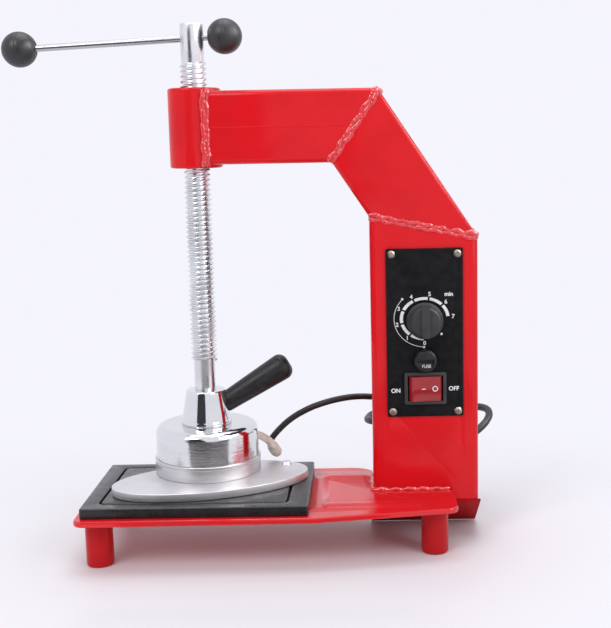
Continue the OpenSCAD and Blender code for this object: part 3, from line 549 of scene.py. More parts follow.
class VULC_OT_camera(bpy.types.Operator):
    """Camera at the photograph's viewpoint"""
    bl_idname = "vulcanizer.camera"
    bl_label = "Camera"

    def execute(self, context):
        clear_selection()
        bpy.ops.object.camera_add()
        camera = context.object
        camera.name = "photo_camera"
        down, roll = math.radians(CAMERA_DOWN), math.radians(CAMERA_ROLL)
        ahead = Vector((0, math.cos(down), -math.sin(down)))
        right = Vector((1, 0, 0))
        up = right.cross(ahead)
        side = right * math.cos(roll) + up * math.sin(roll)
        top = -right * math.sin(roll) + up * math.cos(roll)
        turn = Matrix((side, top, -ahead)).transposed().to_4x4()
        camera.matrix_world = Matrix.Translation(at(*CAMERA_AT)) @ turn
        camera.data.sensor_width = SENSOR
        camera.data.lens = FOCAL_PIXELS / PHOTO_HEIGHT * SENSOR
        camera.data.shift_x = (PHOTO_MIDDLE - CENTRE_PIXEL) / PHOTO_HEIGHT
        camera.data.clip_start = 0.05
        context.scene.camera = camera
        return {"FINISHED"}


# Cords, with routes and coil in millimetres from the screw axis and the floor

LEAD_DIAMETER = 0.005
CORD_DIAMETER = 0.006
LEAD_HEAD_ROUTE = [
    (47, 27.4, 65.4), (47, 27.4, 67.2), (48.3, 27.4, 70), (50.6, 27.2, 72.9), (53.2, 27, 75.8),
    (59.1, 27, 81.5), (64.9, 27, 85.9), (70, 27, 89.1),
]
LEAD_COLUMN_ROUTE = [
    (70, 27, 89.1), (76.4, 27.2, 92.3), (82.2, 27.6, 94.7), (87.9, 28.2, 96.5), (93.7, 29, 98),
    (99.3, 30, 99.1), (105.1, 31.3, 99.9), (110.8, 32.9, 100.3), (116.5, 34.6, 100.3),
    (122.3, 36.3, 99.9), (128, 37.5, 99.2), (134.5, 38.2, 98.4), (141, 37.8, 97.6), (147, 35.2, 97),
    (151.4, 30, 97), (152.6, 25, 97), (152.6, 20.6, 97),
]
CORD_ROUTE = [
    (150.7, 28, 83), (147, 28, 83), (138.5, 30.2, 81.6), (130.2, 36.6, 79.4), (125.5, 45.8, 77.9),
    (125.1, 56.2, 76.9), (128.2, 65.8, 77.2), (135.4, 72.8, 78.4), (146, 75.9, 79.4),
    (160, 76.4, 80.1), (174, 76.4, 80.6), (188, 76.4, 80.6), (199, 76, 80.6), (207, 74.2, 80.9),
    (214.3, 70.3, 81.6), (219.9, 64, 82.3), (223.5, 56.2, 82.2), (224, 48, 80.4), (221.3, 40, 77.5),
    (216.2, 33.7, 73.8), (208.9, 29.5, 69.3), (199.6, 27.8, 63.9), (189, 27.8, 57.6), (178, 29.6, 51),
    (166, 34.4, 43.6), (155, 42.4, 36), (145, 51.6, 29.4), (135.6, 63, 23.4), (128.6, 76, 18.4),
    (126.6, 90, 14.8), (131.4, 103, 12.5), (141, 112, 11.4), (151, 116.3, 10.95), (161.5, 117.2, 10.8),
]
COIL_MIDDLE = (168, 76.6)
COIL_LOW = 4.2
COIL_TURNS = 4.75
COIL_STEP = 6.6
COIL_LEAST = 25
COIL_FIRST = 90
COIL_POINTS = 48
SLEEVE_RADIUS = 0.0030
SLEEVE_TURN = 15
SLEEVE_FROM = (36.3, 76.7)
SLEEVE_ROUTE = [
    (-6, 0, 0), (-1.2, 0, 0), (3.6, 0, 0), (8, 0.5, -2.6), (12.7, 0.7, -6.5), (16.8, 1.7, -11),
    (19.4, 4.1, -15.3), (19.4, 7.8, -18.2), (17.9, 11.6, -18), (16.19, 14.3, -14.6),
    (16.19, 14.3, -11.6),
]
SLEEVE_INSIDE = 20
SLEEVE_TIGHT = 0.98
SLEEVE_WAVE = 0.04
SLEEVE_WAVE_RATE = 1.9


def coil_route():
    """The tied coil: it spirals in on the upper layer, goes down at the inside and spirals out below."""
    half = COIL_TURNS / 2
    points = []
    for i in range(int(COIL_TURNS * COIL_POINTS) + 1):
        turn = i / COIL_POINTS - half
        a = math.radians(COIL_FIRST - 360 * (turn + half))
        r = COIL_LEAST + COIL_STEP * abs(turn)
        drop = min(max(2 * turn, -0.5), 0.5)
        points.append(at(COIL_MIDDLE[0] + r * math.cos(a), COIL_MIDDLE[1] + r * math.sin(a),
                         COIL_LOW + COIL_STEP * (0.5 - drop)))
    points.append(points[-1] + Vector((0, CORD_DIAMETER, 0)))
    return points


class VULC_OT_cords(bpy.types.Operator):
    """Heater lead, its sleeve, and the mains cord with its coil"""
    bl_idname = "vulcanizer.cords"
    bl_label = "Cords"

    def execute(self, context):
        self.leads()
        self.mains()
        self.sleeve()
        return {"FINISHED"}

    def leads(self):
        for name, places, bodies, ends in (
            ("heater_lead_head", LEAD_HEAD_ROUTE, ("head", "carrier"), (2, -2)),
            ("heater_lead_column", LEAD_COLUMN_ROUTE, ("carrier", "frame"), (2, -8)),
        ):
            route = smooth_route([at(*p) for p in places], steps=6)
            lead = tube("lead_tube_" + bodies[0], route, LEAD_DIAMETER / 2)
            lead.data.materials.append(finish("cord_rubber"))
            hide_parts(name)
            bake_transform(lead)

    def mains(self):
        coil = coil_route()
        route = smooth_route([at(*p) for p in CORD_ROUTE] + [coil[0]], steps=5) + coil[1:]
        cord = tube("mains_cord_tube", route, CORD_DIAMETER / 2)
        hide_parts("mains_cord", "cord_coil")
        keep(cord, "frame", "cord_rubber")

    def sleeve(self):
        turn = Matrix.Rotation(math.radians(SLEEVE_TURN), 4, "Z")
        start = Matrix.Translation(at(0, 0, SLEEVE_FROM[1])) @ turn
        points = [start @ (Vector((SLEEVE_FROM[0] + x, y, z)) * MM) for x, y, z in SLEEVE_ROUTE]
        line = smooth_route(points, steps=8)
        swell = [SLEEVE_TIGHT] * (SLEEVE_INSIDE + 1)
        for i in range(len(swell), len(line)):
            swell.append(1.0 + SLEEVE_WAVE * math.sin(SLEEVE_WAVE_RATE * i))
        sleeve = tube("sleeve_tube", line, SLEEVE_RADIUS, swell, sides=6)
        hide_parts("lead_sleeve")
        keep(sleeve, "head", "sleeve_weave")


# Frame, welds and pad, with sizes in metres

BASE_CRISP = 18
PIECE_EDGE = 0.0009
PAINTED = (
    ("base_plate", 1.6, "base_paint"), ("column_tube", 0.5, "red_paint"),
    ("neck_tube", 0.5, "red_paint"), ("arm_tube", 0.5, "red_paint"), ("nut_boss", 1, "red_paint"),
    # The heel and the feet take darker copies of the red, which are painted shade
    ("heel_plate", 1, "heel_paint"), ("foot_front_left", 1, "foot_paint"),
    ("foot_front_right", 1, "foot_paint"), ("foot_rear_left", 1, "foot_paint"),
)


class VULC_OT_frame(bpy.types.Operator):
    """Painted frame with rounded edges"""
    bl_idname = "vulcanizer.frame"
    bl_label = "Painted frame"

    def execute(self, context):
        for node, share, paint in PAINTED:
            crisp = BASE_CRISP if node == "base_plate" else 30
            obj = softened(node, share * sizes().soft_edge, crisp=crisp)
            keep(obj, "frame", paint)
        return {"FINISHED"}


WELD_STEP = 0.0007
WELD_WANDER = 0.0005
WELD_SPREAD = 0.0014
WELD_SINK = 0.6
WELD_INSET = 0.002
WELD_TAPER = (0.45, 0.2)
WELD_RIPPLE = ((0.05, 1.3, 1), (0.12, 0.37, 2), (0.1, 0.13, 0))
WELD_SIDEWAYS = ((1, 0.31, 3), (0.3, 0.77, 1))
WELD_UPWARD = ((1, 0.43, 1),)
SEED_STEP = 0.7
RIDGE_SEED = 1.9
BASE_WELD_SHORT = 0.003
BOSS_WELD_OUT = 0.0098
BOSS_WELD_SINK = 0.0012
BOSS_WELD_PAST = 0.001
SEAM_RADIUS = 0.0005
SEAM_SINK = 0.0002
SEAM_ENDS = (0.004, 0.01)


def waves(rows, i, seed):
    """Sum of waves; each row has a size, a rate along the bead and a share of the seed."""
    return sum(size * math.sin(rate * i + share * seed) for size, rate, share in rows)


def weld_strand(name, points, radius, seed):
    """A rippled ridge along points; its width and path wander a little."""
    line = [Vector(p) for p in points]
    route = []
    for a, b in zip(line, line[1:]):
        count = max(2, int((b - a).length / WELD_STEP))
        route += [a + (b - a) * (i / count) for i in range(count)]
    route.append(line[-1])
    swell = []
    for i in range(len(route)):
        ends = min(1.0, WELD_TAPER[0] + WELD_TAPER[1] * min(i, len(route) - 1 - i))
        swell.append((1.0 + waves(WELD_RIPPLE, i, seed)) * ends)
        side, rise = waves(WELD_SIDEWAYS, i, seed), waves(WELD_UPWARD, i, seed)
        route[i] = route[i] + Vector((side, 0, rise)) * WELD_WANDER
    return tube(name, route, radius, swell, sides=2)


def weld(name, points, radius, seed, across):
    """A weld bead of two ridges that lie side by side."""
    ridges = []
    for k, way in enumerate((-1, 1)):
        shifted = [Vector(p) + Vector(across) * (way * WELD_SPREAD) for p in points]
        ridges.append(weld_strand(name, shifted, radius, seed + RIDGE_SEED * k))
    return joined(name, ridges)


class VULC_OT_welds(bpy.types.Operator):
    """Weld beads where the tubes, the boss and the base meet"""
    bl_idname = "vulcanizer.welds"
    bl_label = "Weld beads"

    def execute(self, context):
        radius = sizes().weld_radius
        low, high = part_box("column_tube")
        neck_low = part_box("neck_tube")[0]
        arm_low, arm_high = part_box("arm_tube")
        base_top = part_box("pad_tray")[0].z
        base_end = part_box("base_plate")[1].x - BASE_WELD_SHORT
        front, back = low.y + WELD_SINK * radius, high.y - WELD_SINK * radius
        slant, upright, forward, along = (0.84, 0, -0.54), (0, 0, 1), (0, -0.7, 0.3), (1, 0, 0)
        knee = [(arm_high.x, y, arm_high.z - WELD_INSET) for y in (back, front)]
        knee += [(neck_low.x, y, arm_low.z + WELD_INSET) for y in (front, back)]
        neck = [(low.x + WELD_INSET, y, high.z) for y in (back, front)]
        neck += [(high.x - WELD_INSET, y, neck_low.z) for y in (front, back)]
        foot = [(low.x, high.y, base_top), (low.x, low.y, base_top), (base_end, low.y, base_top)]
        seams = {
            "weld_knee": (slant, knee),
            "weld_column": (upright, neck),
            "weld_knee_back": (slant, [knee[0], knee[3]]),
            "weld_column_back": (upright, [neck[0], neck[3]]),
            "weld_base": (forward, foot),
        }
        boss_x = middle("nut_boss").x + BOSS_WELD_OUT
        for side, y in (("front", low.y + BOSS_WELD_SINK), ("back", high.y - BOSS_WELD_SINK)):
            ends = (arm_low.z - BOSS_WELD_PAST, arm_high.z + BOSS_WELD_PAST)
            seams["weld_boss_" + side] = (along, [(boss_x, y, z) for z in ends])
        for seed, (name, (across, points)) in enumerate(seams.items()):
            bead = weld(name, points, radius, SEED_STEP * seed, across)
            # The beads' lighter red is a painted highlight
            keep(bead, "frame", "weld_paint")
        ends = (boss_x + SEAM_ENDS[0], neck_low.x + SEAM_ENDS[1])
        seam = [Vector((x, low.y + SEAM_SINK, middle("arm_tube").z)) for x in ends]
        keep(tube("arm_seam", seam, SEAM_RADIUS), "frame", "red_paint")
        return {"FINISHED"}


class VULC_OT_pad(bpy.types.Operator):
    """Rubber pressing pad and its insert"""
    bl_idname = "vulcanizer.pad"
    bl_label = "Pressing pad"

    def execute(self, context):
        for node in ("pad_tray", "pad_insert"):
            keep(softened(node, PIECE_EDGE, 3), "frame", "pad_rubber")
        return {"FINISHED"}


# Heated head, with its profiles in millimetres

CUP_CORNER = 6.0
CUP_WALL = 1.5
CUP_BORE = 4.4
CONE_TOP = 14.5
CONE_BORE = 8.1
CONE_DEPTH = 19.0
GRIP_NEAR = 7.8
GRIP_FAR = 10.3
GRIP_LENGTH = 58.5
GRIP_END = 7
GRIP_BORE = (4.2, 20)
GRIP_RISE = 30
GRIP_TURN = 10
GRIP_START = 16.5
GRIP_FOOT = 6.4


def node_height(node):
    """Height of a node's box in millimetres."""
    low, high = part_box(node)
    return (high.z - low.z) / MM


def node_radius(node):
    """Half the depth of a node's box in millimetres."""
    low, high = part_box(node)
    return (high.y - low.y) / 2 / MM


def on_axis(height):
    """Place of a turned piece on the screw axis, at a height in metres."""
    return Matrix.Translation(Vector((AXIS.x, AXIS.y, height)))


class VULC_OT_head(bpy.types.Operator):
    """Oval plate, heater block, chrome cup and cone, and the grip"""
    bl_idname = "vulcanizer.head"
    bl_label = "Heated head"

    def execute(self, context):
        plate = softened("oval_plate", PIECE_EDGE, 3, limit=50)
        keep(plate, "head", "plate_aluminium")
        self.turn_node("heater_block", self.block, 128, "turned_aluminium", "satin_aluminium")
        self.turn_node("heater_cup", self.cup, 160, "cup_chrome", "bright_chrome")
        self.turn_node("cone_collar", self.cone, 160, "chrome", "bright_chrome")
        self.grip()
        return {"FINISHED"}

    def turn_node(self, node, profile_of, steps, look, slot):
        """A turned piece in a node's place, from its radius and height."""
        profile = profile_of(node_radius(node), node_height(node))
        obj = turned(node + "_turned", profile, on_axis(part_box(node)[0].z), steps)
        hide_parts(node)
        keep(obj, "head", look)

    def block(self, r, h):
        profile = [(0, 0), (r - 1.2, 0)] + quarter(r - 0.8, 0.8, 0.8, -60, 0, 3)
        profile += [(r, h - 2.6), (r - 0.35, h - 2.3), (r - 0.35, h - 1.9), (r, h - 1.6)]
        return profile + quarter(r - 0.7, h - 0.7, 0.7, 0, 90, 4) + [(r - 4, h), (0, h)]

    def cup(self, r, h):
        across, up = r - CUP_CORNER, h - CUP_CORNER
        profile = [(CUP_BORE, h - CUP_WALL)] + quarter(across, up, CUP_CORNER - CUP_WALL, 90, 0, 6)
        profile += [(r - CUP_WALL, 0.05), (r - 0.4, 0.05), (r, 0.5)]
        profile += quarter(across, up, CUP_CORNER, 0, 90, 12)
        return profile + [(r - 10, h), (CUP_BORE, h), (CUP_BORE, h - CUP_WALL)]

    def cone(self, r, h):
        """The cone; points close to both ends of its side keep the shading straight between them."""
        profile = [(0, 0), (r - 0.6, 0)] + quarter(r - 0.6, 0.6, 0.6, -90, 0, 3) + [(r, 2.6)]
        foot, brim = Vector((r - 0.35, 3.2)), Vector((CONE_TOP + 0.5, h - 1.4))
        profile += [tuple(foot.lerp(brim, t)) for t in (0, 0.04, 0.96, 1)]
        profile += quarter(CONE_TOP - 0.8, h - 1.2, 1.2, 12, 90, 5)
        return profile + [(CONE_BORE, h), (CONE_BORE, h - CONE_DEPTH), (0, h - CONE_DEPTH)]

    def grip(self):
        place = (on_axis(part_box("cone_collar")[0].z + GRIP_FOOT * MM)
                 @ Matrix.Rotation(math.radians(GRIP_TURN), 4, "Z")
                 @ Matrix.Rotation(math.radians(90 - GRIP_RISE), 4, "Y")
                 @ Matrix.Translation(Vector((0, 0, GRIP_START * MM))))
        bore, deep = GRIP_BORE
        last = GRIP_LENGTH - GRIP_END
        profile = [(0, deep), (bore, deep), (bore, 0), (GRIP_NEAR - 1, 0)]
        profile += quarter(GRIP_NEAR - 0.9, 0.9, 0.9, -80, 0, 4) + [(GRIP_FAR, last)]
        profile += quarter(GRIP_FAR - GRIP_END, last, GRIP_END, 8, 90, 10) + [(0, GRIP_LENGTH)]
        obj = turned("head_grip_turned", profile, place, steps=64)
        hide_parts("head_grip")
        keep(obj, "head", "black_plastic")


# Clamp screw and cross bar, with sizes in millimetres

THREAD_ROOT = 8.15
THREAD_CREST = 10.0
THREAD_STEPS = 48
NECK_FREE = 21.0
NECK_RADIUS = 8.0
NECK_GROOVE = (1.6, 6, 10.6)
HEAD_RADIUS = 8.4
HEAD_LENGTH = 30.7
HEAD_STEP = (0.16, 7.6, 8)
HEAD_EDGE = 1.2
HOLE_RADIUS = 2.8
HOLE_LENGTH = 60
BALL_RADIUS = 13.0
BALL_FLAT = 1.07
BALL_BORE = (2.6, 9)
BALL_SEAM = 0.16
BALL_LIP = (2.2, 1.6, 0.5)


def along_bar():
    """Turn that lays the Z axis along the cross bar."""
    return BAR_WAY.to_track_quat("Z", "Y").to_matrix().to_4x4()


def bar_height(x):
    """Height of the cross bar's middle line at x."""
    bar = middle("t_bar")
    return bar.z + (x - bar.x) * BAR_WAY.z / BAR_WAY.x


class VULC_OT_screw(bpy.types.Operator):
    """Clamp screw with a true helical thread"""
    bl_idname = "vulcanizer.screw"
    bl_label = "Clamp screw"

    def execute(self, context):
        low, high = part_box("clamp_screw")
        foot, top = low.z / MM, high.z / MM
        thread_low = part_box("cone_collar")[1].z / MM + NECK_FREE
        thread_high = top - HEAD_LENGTH
        core = self.core(foot, thread_low, thread_high, top)
        self.drill(core)
        thread = self.thread(thread_low, thread_high)
        screw = joined("clamp_screw_thread", [core, thread])
        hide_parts("clamp_screw")
        keep(screw, "screw", "thread_steel")
        return {"FINISHED"}

    def core(self, foot, thread_low, thread_high, top):
        neck, head = NECK_RADIUS, HEAD_RADIUS
        deep, groove_low, groove_high = NECK_GROOVE
        wider, step_low, step_high = HEAD_STEP
        profile = [(0, foot), (neck - 1, foot), (neck, foot + 1), (neck, foot + groove_low),
                   (neck - deep, foot + groove_low), (neck - deep, foot + groove_high),
                   (neck, foot + groove_high), (neck, thread_low - 0.6), (THREAD_ROOT, thread_low),
                   (THREAD_ROOT, thread_high - 1), (head, thread_high), (head, thread_high + step_low),
                   (head + wider, thread_high + step_high), (head + wider, top - HEAD_EDGE)]
        profile += quarter(head + wider - HEAD_EDGE, top - HEAD_EDGE, HEAD_EDGE, 0, 90, 5) + [(0, top)]
        return turned("screw_core", profile, on_axis(0), steps=96)

    def drill(self, core):
        clear_selection()
        bpy.ops.mesh.primitive_cylinder_add(vertices=48, radius=HOLE_RADIUS * MM, depth=HOLE_LENGTH * MM)
        drill = named("cross_hole")
        settle(drill, on_axis(bar_height(AXIS.x)) @ along_bar())
        cut = core.modifiers.new("cross_hole", "BOOLEAN")
        cut.operation = "DIFFERENCE"
        cut.solver = "EXACT"
        cut.object = drill
        apply_modifiers(core)
        bpy.data.objects.remove(drill)

    def thread(self, thread_low, thread_high):
        """One turn of the ridge's outline, its heights as shares of the pitch, swept up the screw."""
        pitch = sizes().pitch
        inner, shoulder = THREAD_ROOT - 0.5, THREAD_CREST - 0.3
        profile = [(inner, 0.02), (THREAD_ROOT, 0.10), (shoulder, 0.38), (THREAD_CREST, 0.45),
                   (THREAD_CREST, 0.57), (shoulder, 0.64), (THREAD_ROOT, 0.92), (inner, 0.98)]
        points = [(r * MM, 0, z * pitch) for r, z in profile]
        count = len(points)
        obj = from_points("screw_thread", points, [(i, (i + 1) % count) for i in range(count)])
        coil = obj.modifiers.new("helix", "SCREW")
        coil.axis = "Z"
        coil.angle = 2 * math.pi
        coil.screw_offset = pitch
        coil.iterations = int((thread_high - thread_low) * MM / pitch)
        coil.steps = THREAD_STEPS
        coil.render_steps = THREAD_STEPS
        apply_modifiers(obj)
        edit(merged(MERGE_FINE))
        bpy.ops.object.mode_set(mode="EDIT")
        bpy.ops.mesh.select_all(action="DESELECT")
        bpy.ops.mesh.select_non_manifold()
        bpy.ops.mesh.edge_face_add()
        bpy.ops.object.mode_set(mode="OBJECT")
        edit(OUTWARD)
        return smooth(settle(obj, on_axis(thread_low * MM)), degrees=40)


class VULC_OT_cross_bar(bpy.types.Operator):
    """Ball knobs of the cross bar, with their moulding seams"""
    bl_idname = "vulcanizer.cross_bar"
    bl_label = "Cross bar"

    def execute(self, context):
        r, face = BALL_RADIUS, BALL_RADIUS - BALL_FLAT
        bore, deep = BALL_BORE
        rim, chamfer, sunk = BALL_LIP
        lip = math.degrees(math.asin(face / r))
        profile = [(0, -r)] + quarter(0, 0, r, -88, -2, 22) + [(r - BALL_SEAM, 0)]
        profile += quarter(0, 0, r, 2, lip, 18) + [(bore + rim, face), (bore + chamfer, face - sunk)]
        profile += [(bore, face - sunk), (bore, r - deep), (0, r - deep)]
        for node, flip in (("ball_knob_left", 0), ("ball_knob_right", math.pi)):
            place = Matrix.Translation(self.ball_centre(node)) @ along_bar() @ Matrix.Rotation(flip, 4, "X")
            ball = turned(node + "_turned", profile, place, steps=72)
            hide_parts(node)
            keep(ball, "cross_bar", "black_gloss")
        return {"FINISHED"}

    def ball_centre(self, node):
        """The ball's middle: its box is cut by the flat on the side of the screw."""
        low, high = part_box(node)
        x = low.x + BALL_RADIUS * MM if node.endswith("left") else high.x - BALL_RADIUS * MM
        return Vector((x, AXIS.y, bar_height(x)))


# Panel and controls, with sizes in metres and dial angles in degrees

PANEL_EDGE = 0.0004
KNOB_EDGE = 0.0005
DIGIT_STEP = 37.9
DIGIT_FIRST = 180.6
DIGIT_RADIUS = 0.0212
DIAL_RISE = 0.0014
DIAL_SQUASH = 0.875
RING_WIDTH = 0.0024
DIGIT_GAP = 2.4
OUTER_ARC = (0.0227, 0.0231, 182, 314)
ARC_SQUASH = 0.93
MINUTES_AT = (0.0180, 0, 0.0182)
MINUTES_BOLD = 0.00014
DOT_AT = (0.0124, 0, -0.0117)
DOT_RADII = (0.0001, 0.0009)
STATES = (("ON", -0.0222, -0.0019), ("OFF", 0.0214, -0.0008))
STATE_HEIGHT = 0.0032
STATE_BOLD = 0.00012
FUSE_LABEL_AT = (0.0006, -0.0036)
FUSE_LABEL_HEIGHT = 0.0023
ROCKER_DEPTH = 0.0062
ROCKER_RISE = 0.0020
ROCKER_HALF = 0.01285
DASH_OUT = 0.0024
DASH_HALF = (0.0015, 0.0003)
CIRCLE_OUT = 0.0062
CIRCLE_RADII = (0.0015, 0.0021)
MARK_THICK = 0.0001


class VULC_OT_panel(bpy.types.Operator):
    """Control panel with the printed dial and switch marks"""
    bl_idname = "vulcanizer.panel"
    bl_label = "Control panel"

    def execute(self, context):
        keep(softened("control_panel", PANEL_EDGE), "frame", "panel_plastic")
        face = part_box("control_panel")[0].y
        marks = self.dial(Vector((KNOB.x, face, KNOB.z + DIAL_RISE)))
        for text, x, z in STATES:
            place = Vector((PIVOT.x + x, face, PIVOT.z + z))
            marks.append(lettering("state", text, STATE_HEIGHT, place, sizes().print_lift, STATE_BOLD))
        keep(joined("panel_marks", marks), "frame", "print_ink")
        return {"FINISHED"}

    def dial(self, centre):
        """Figures, the broken ring, the outer arc with its end dots, and the stop dot."""
        lift, height, radius = sizes().print_lift, sizes().digit_height, sizes().dial_radius
        marks = []
        for digit in range(8):
            place = centre + clock(DIGIT_FIRST + DIGIT_STEP * digit, DIAL_SQUASH) * DIGIT_RADIUS
            marks.append(lettering("digit", str(digit), height, place, lift))
        minutes = centre + Vector(MINUTES_AT)
        marks.append(lettering("minutes", "min", height, minutes, lift, MINUTES_BOLD))
        for digit in range(7):
            first = DIGIT_FIRST + DIGIT_STEP * digit + DIGIT_GAP
            last = DIGIT_FIRST + DIGIT_STEP * (digit + 1) - DIGIT_GAP
            marks.append(ring_arc("segment", centre, radius - RING_WIDTH / 2, radius + RING_WIDTH / 2,
                                  first, last, lift, DIAL_SQUASH))
        inner, outer, first, last = OUTER_ARC
        marks.append(ring_arc("outer_arc", centre, inner, outer, first, last, lift, ARC_SQUASH))
        ends = [centre + clock(end, ARC_SQUASH) * outer for end in (first, last)]
        for dot in [centre + Vector(DOT_AT)] + ends:
            marks.append(ring_arc("dot", dot, *DOT_RADII, 0, 360, lift))
        return marks


class VULC_OT_controls(bpy.types.Operator):
    """Timer knob, fuse cap, switch and the marks on its rocker"""
    bl_idname = "vulcanizer.controls"
    bl_label = "Controls"

    def execute(self, context):
        keep(softened("timer_knob", KNOB_EDGE, 3), "timer_dial", "knob_plastic")
        keep(softened("fuse_cap", PANEL_EDGE), "fuse_top", "black_plastic")
        keep(softened("switch_frame", PANEL_EDGE), "frame", "knob_plastic")
        keep(softened("rocker", PANEL_EDGE), "switch_rocker", "rocker_red")
        marks = joined("rocker_marks", [self.dash(), self.circle()])
        keep(marks, "switch_rocker", "print_ink")
        x, z = FUSE_LABEL_AT
        place = Vector((FUSE.x + x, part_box("fuse_cap")[0].y, FUSE.z + z))
        label = lettering("fuse_label", "FUSE", FUSE_LABEL_HEIGHT, place, sizes().print_lift, bold=0.0)
        keep(label, "fuse_top", "print_ink")
        return {"FINISHED"}

    def on_rocker(self, side, out):
        """Place on one of the rocker's two slanted faces, at a distance from its middle."""
        face = -ROCKER_DEPTH - ROCKER_RISE * out / ROCKER_HALF
        slope = Matrix.Rotation(-side * math.atan2(ROCKER_RISE, ROCKER_HALF), 4, "Z")
        tilt = Matrix.Translation(PIVOT) @ Matrix.Rotation(SWITCH_TILT, 4, "Z")
        return tilt @ Matrix.Translation(Vector((side * out, face, 0))) @ slope

    def dash(self):
        x, z = DASH_HALF
        points = [(-x, 0, -z), (x, 0, -z), (x, 0, z), (-x, 0, z)]
        obj = raised(from_points("dash", points, [], [(0, 1, 2, 3)]), MARK_THICK)
        return settle(obj, self.on_rocker(-1, DASH_OUT))

    def circle(self):
        obj = ring_arc("ring", Vector((0, 0, 0)), *CIRCLE_RADII, 0, 360, MARK_THICK / 2)
        return settle(obj, self.on_rocker(1, CIRCLE_OUT))


class VULC_OT_small_parts(bpy.types.Operator):
    """Finishes of the CAD nodes that stay as they are"""
    bl_idname = "vulcanizer.small_parts"
    bl_label = "Small parts"

    def execute(self, context):
        slots = {part["node"]: part["material_slot"] for part in RECORD["subparts"]}
        for node, obj in frame["nodes"].items():
            if obj.hide_render:
                continue
            slot = slots[node]
            look = FINISH_OF_NODE.get(node) or FINISH_OF_SLOT.get(slot, slot)
            obj.data.materials.clear()
            obj.data.materials.append(finish(look))
        return {"FINISHED"}


# Stage, with places and sizes in metres

LAMP_AIM = Vector((0, 0, 0.18))
LAMPS = (
    ("key_lamp", (-0.9, -1.3, 1.5), (0.9, 0.9), 13.0),
    ("fill_lamp", (1.2, -1.0, 0.9), (0.8, 0.8), 6.0),
    ("top_lamp", (0.1, 0.2, 1.8), (1.2, 1.2), 12.0),
)
STREAKS = (0, 0.22, 0.29, 0.37, 0.44, 0.53, 0.57, 0.66, 0.69, 1.0)
CARDS = (
    ("front_card", "streaked",
     ((-0.10, -0.12, 0.004), (0.115, -0.12, 0.004), (0.237, -0.18, 0.072), (-0.169, -0.18, 0.072))),
    ("cone_card", "dark",
     ((-0.353, -0.366, 0.06), (-0.01, -0.48, 0.06), (-0.01, -0.48, 0.24), (-0.353, -0.366, 0.24))),
    ("screw_card", "dark",
     ((-0.3145, -0.394, 0.24), (-0.0785, -0.4776, 0.24), (-0.0785, -0.4776, 0.50),
      (-0.3145, -0.394, 0.50))),
    ("thread_card", "dark",
     ((0.055, -0.03, 0.15), (0.055, 0.07, 0.15), (0.055, 0.07, 0.25), (0.055, -0.03, 0.25))),
    ("edge_card", "bright",
     ((0.85, -0.35, 0.55), (1.05, 0.25, 0.55), (0.80, 0.25, 1.05), (0.60, -0.35, 1.05))),
)
BACKDROP = (0.915, 0.91, 0.985, 1)
SURROUND = 0.5
FLOOR_SIZE = 8
FLOOR_REACH = (0.17, 0.12)
FLOOR_FADE = (1.0, 3.2)


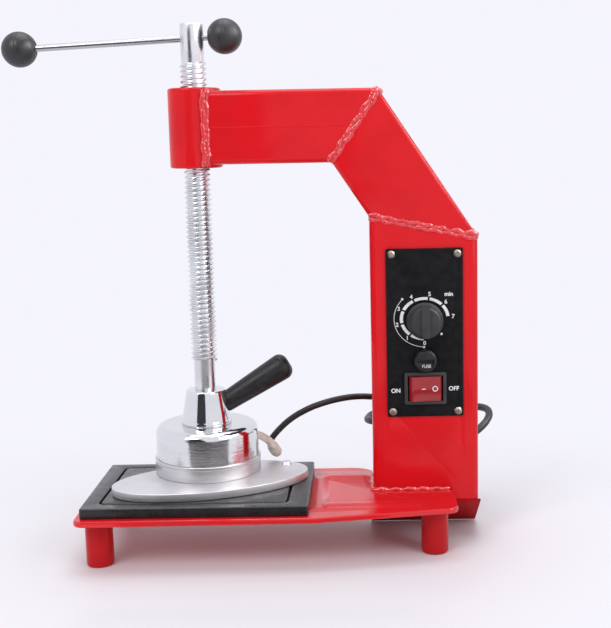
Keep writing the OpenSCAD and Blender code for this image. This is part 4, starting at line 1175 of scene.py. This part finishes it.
class VULC_OT_stage(bpy.types.Operator):
    """Pale floor, soft lamps and white surroundings"""
    bl_idname = "vulcanizer.stage"
    bl_label = "Stage"

    def execute(self, context):
        clear_selection()
        bpy.ops.mesh.primitive_plane_add(size=FLOOR_SIZE)
        floor = named("studio_floor")
        floor.data.materials.append(self.floor_material())
        for name, place, size, power in LAMPS:
            clear_selection()
            bpy.ops.object.light_add(type="AREA", location=place)
            lamp = context.object
            lamp.name = name
            lamp.data.shape = "RECTANGLE"
            lamp.data.size, lamp.data.size_y = size
            lamp.data.energy = power
            lamp.rotation_euler = (LAMP_AIM - Vector(place)).to_track_quat("-Z", "Y").to_euler()
        self.cards()
        self.surroundings(context.scene)
        context.scene.view_settings.view_transform = "Standard"
        context.scene.cycles.diffuse_bounces = 2
        return {"FINISHED"}

    def floor_material(self):
        """Matt near the machine, for its shadow, and plain white farther out, so that no horizon shows."""
        material = finish("studio_floor")
        tree = material.node_tree
        near, out = tree.nodes["Principled BSDF"], tree.nodes["Material Output"]
        place = add_node(tree, "TexCoord")
        scaled = add_node(tree, "VectorMath", operation="MULTIPLY")
        scaled.inputs[1].default_value = (1 / FLOOR_REACH[0], 1 / FLOOR_REACH[1], 0)
        far = add_node(tree, "VectorMath", operation="LENGTH")
        share = add_node(tree, "MapRange", interpolation_type="SMOOTHSTEP",
                         From_Min=FLOOR_FADE[0], From_Max=FLOOR_FADE[1])
        glow = add_node(tree, "Emission", Color=BACKDROP)
        mix = add_node(tree, "MixShader")
        wire(tree, (place, "Object", scaled, 0), (scaled, "Vector", far, 0), (far, "Value", share, "Value"),
             (share, "Result", mix, "Fac"), (near, "BSDF", mix, 1), (glow, "Emission", mix, 2),
             (mix, "Shader", out, "Surface"))
        return material

    def cards(self):
        """Cards that only reflections see: dark ones for the chrome, a bright one for the neck's edge."""
        looks = {"streaked": ("dark_card", "grey_card"), "dark": ("dark_card",), "bright": ("bright_card",)}
        for name, kind, corners in CARDS:
            near_left, near_right, far_right, far_left = [Vector(c) for c in corners]
            rows = STREAKS if kind == "streaked" else (0, 1)
            for k, (a, b) in enumerate(zip(rows, rows[1:])):
                strip = [near_left.lerp(far_left, a), near_right.lerp(far_right, a),
                         near_right.lerp(far_right, b), near_left.lerp(far_left, b)]
                card = from_points(name, strip, [], [(0, 1, 2, 3)])
                card.data.materials.append(finish(looks[kind][k % len(looks[kind])]))
                card.visible_camera = False
                card.visible_diffuse = False
                card.visible_shadow = False

    def surroundings(self, scene):
        """An even white light, and the backdrop's colour where the camera or a mirror looks out."""
        scene.world = bpy.data.worlds.new("studio_world")
        scene.world.use_nodes = True
        tree = scene.world.node_tree
        light, out = tree.nodes["Background"], tree.nodes["World Output"]
        light.inputs["Color"].default_value = (1, 1, 1, 1)
        light.inputs["Strength"].default_value = SURROUND
        white = add_node(tree, "Background", Color=BACKDROP, Strength=1.0)
        rays = add_node(tree, "LightPath")
        seen = add_node(tree, "Math", operation="MAXIMUM")
        clear = add_node(tree, "Math", operation="MAXIMUM")
        mix = add_node(tree, "MixShader")
        wire(tree, (rays, "Is Camera Ray", seen, 0), (rays, "Is Glossy Ray", seen, 1),
             (seen, "Value", clear, 0), (rays, "Is Transmission Ray", clear, 1),
             (clear, "Value", mix, "Fac"), (light, "Background", mix, 1), (white, "Background", mix, 2),
             (mix, "Shader", out, "Surface"))


OPERATORS = (
    VULC_OT_camera, VULC_OT_cords, VULC_OT_frame, VULC_OT_welds, VULC_OT_pad, VULC_OT_head, VULC_OT_screw,
    VULC_OT_cross_bar, VULC_OT_panel, VULC_OT_controls, VULC_OT_small_parts, VULC_OT_stage,
)


class VULC_PT_panel(bpy.types.Panel):
    """Lists the pieces and their settings"""
    bl_idname = "VULC_PT_panel"
    bl_label = "Vulcanizer"
    bl_space_type = "VIEW_3D"
    bl_region_type = "UI"
    bl_category = "Vulcanizer"

    def draw(self, context):
        for operator in OPERATORS:
            self.layout.operator(operator.bl_idname)
        for settings in (context.scene.vulcanizer_colours, context.scene.vulcanizer_sizes):
            for key in settings.__annotations__:
                self.layout.prop(settings, key)


CLASSES = (VulcanizerColours, VulcanizerSizes) + OPERATORS + (VULC_PT_panel,)


def register():
    for cls in CLASSES:
        bpy.utils.register_class(cls)
    bpy.types.Scene.vulcanizer_colours = bpy.props.PointerProperty(type=VulcanizerColours)
    bpy.types.Scene.vulcanizer_sizes = bpy.props.PointerProperty(type=VulcanizerSizes)


def unregister():
    del bpy.types.Scene.vulcanizer_sizes
    del bpy.types.Scene.vulcanizer_colours
    for cls in reversed(CLASSES):
        bpy.utils.unregister_class(cls)


def main():
    """Makes every piece in order."""
    register()
    bpy.ops.vulcanizer.camera()
    bpy.ops.vulcanizer.cords()
    bpy.ops.vulcanizer.frame()
    bpy.ops.vulcanizer.welds()
    bpy.ops.vulcanizer.pad()
    bpy.ops.vulcanizer.head()
    bpy.ops.vulcanizer.screw()
    bpy.ops.vulcanizer.cross_bar()
    bpy.ops.vulcanizer.panel()
    bpy.ops.vulcanizer.controls()
    bpy.ops.vulcanizer.small_parts()
    bpy.ops.vulcanizer.stage()
    clear_selection()


if __name__ == "__main__":
    main()
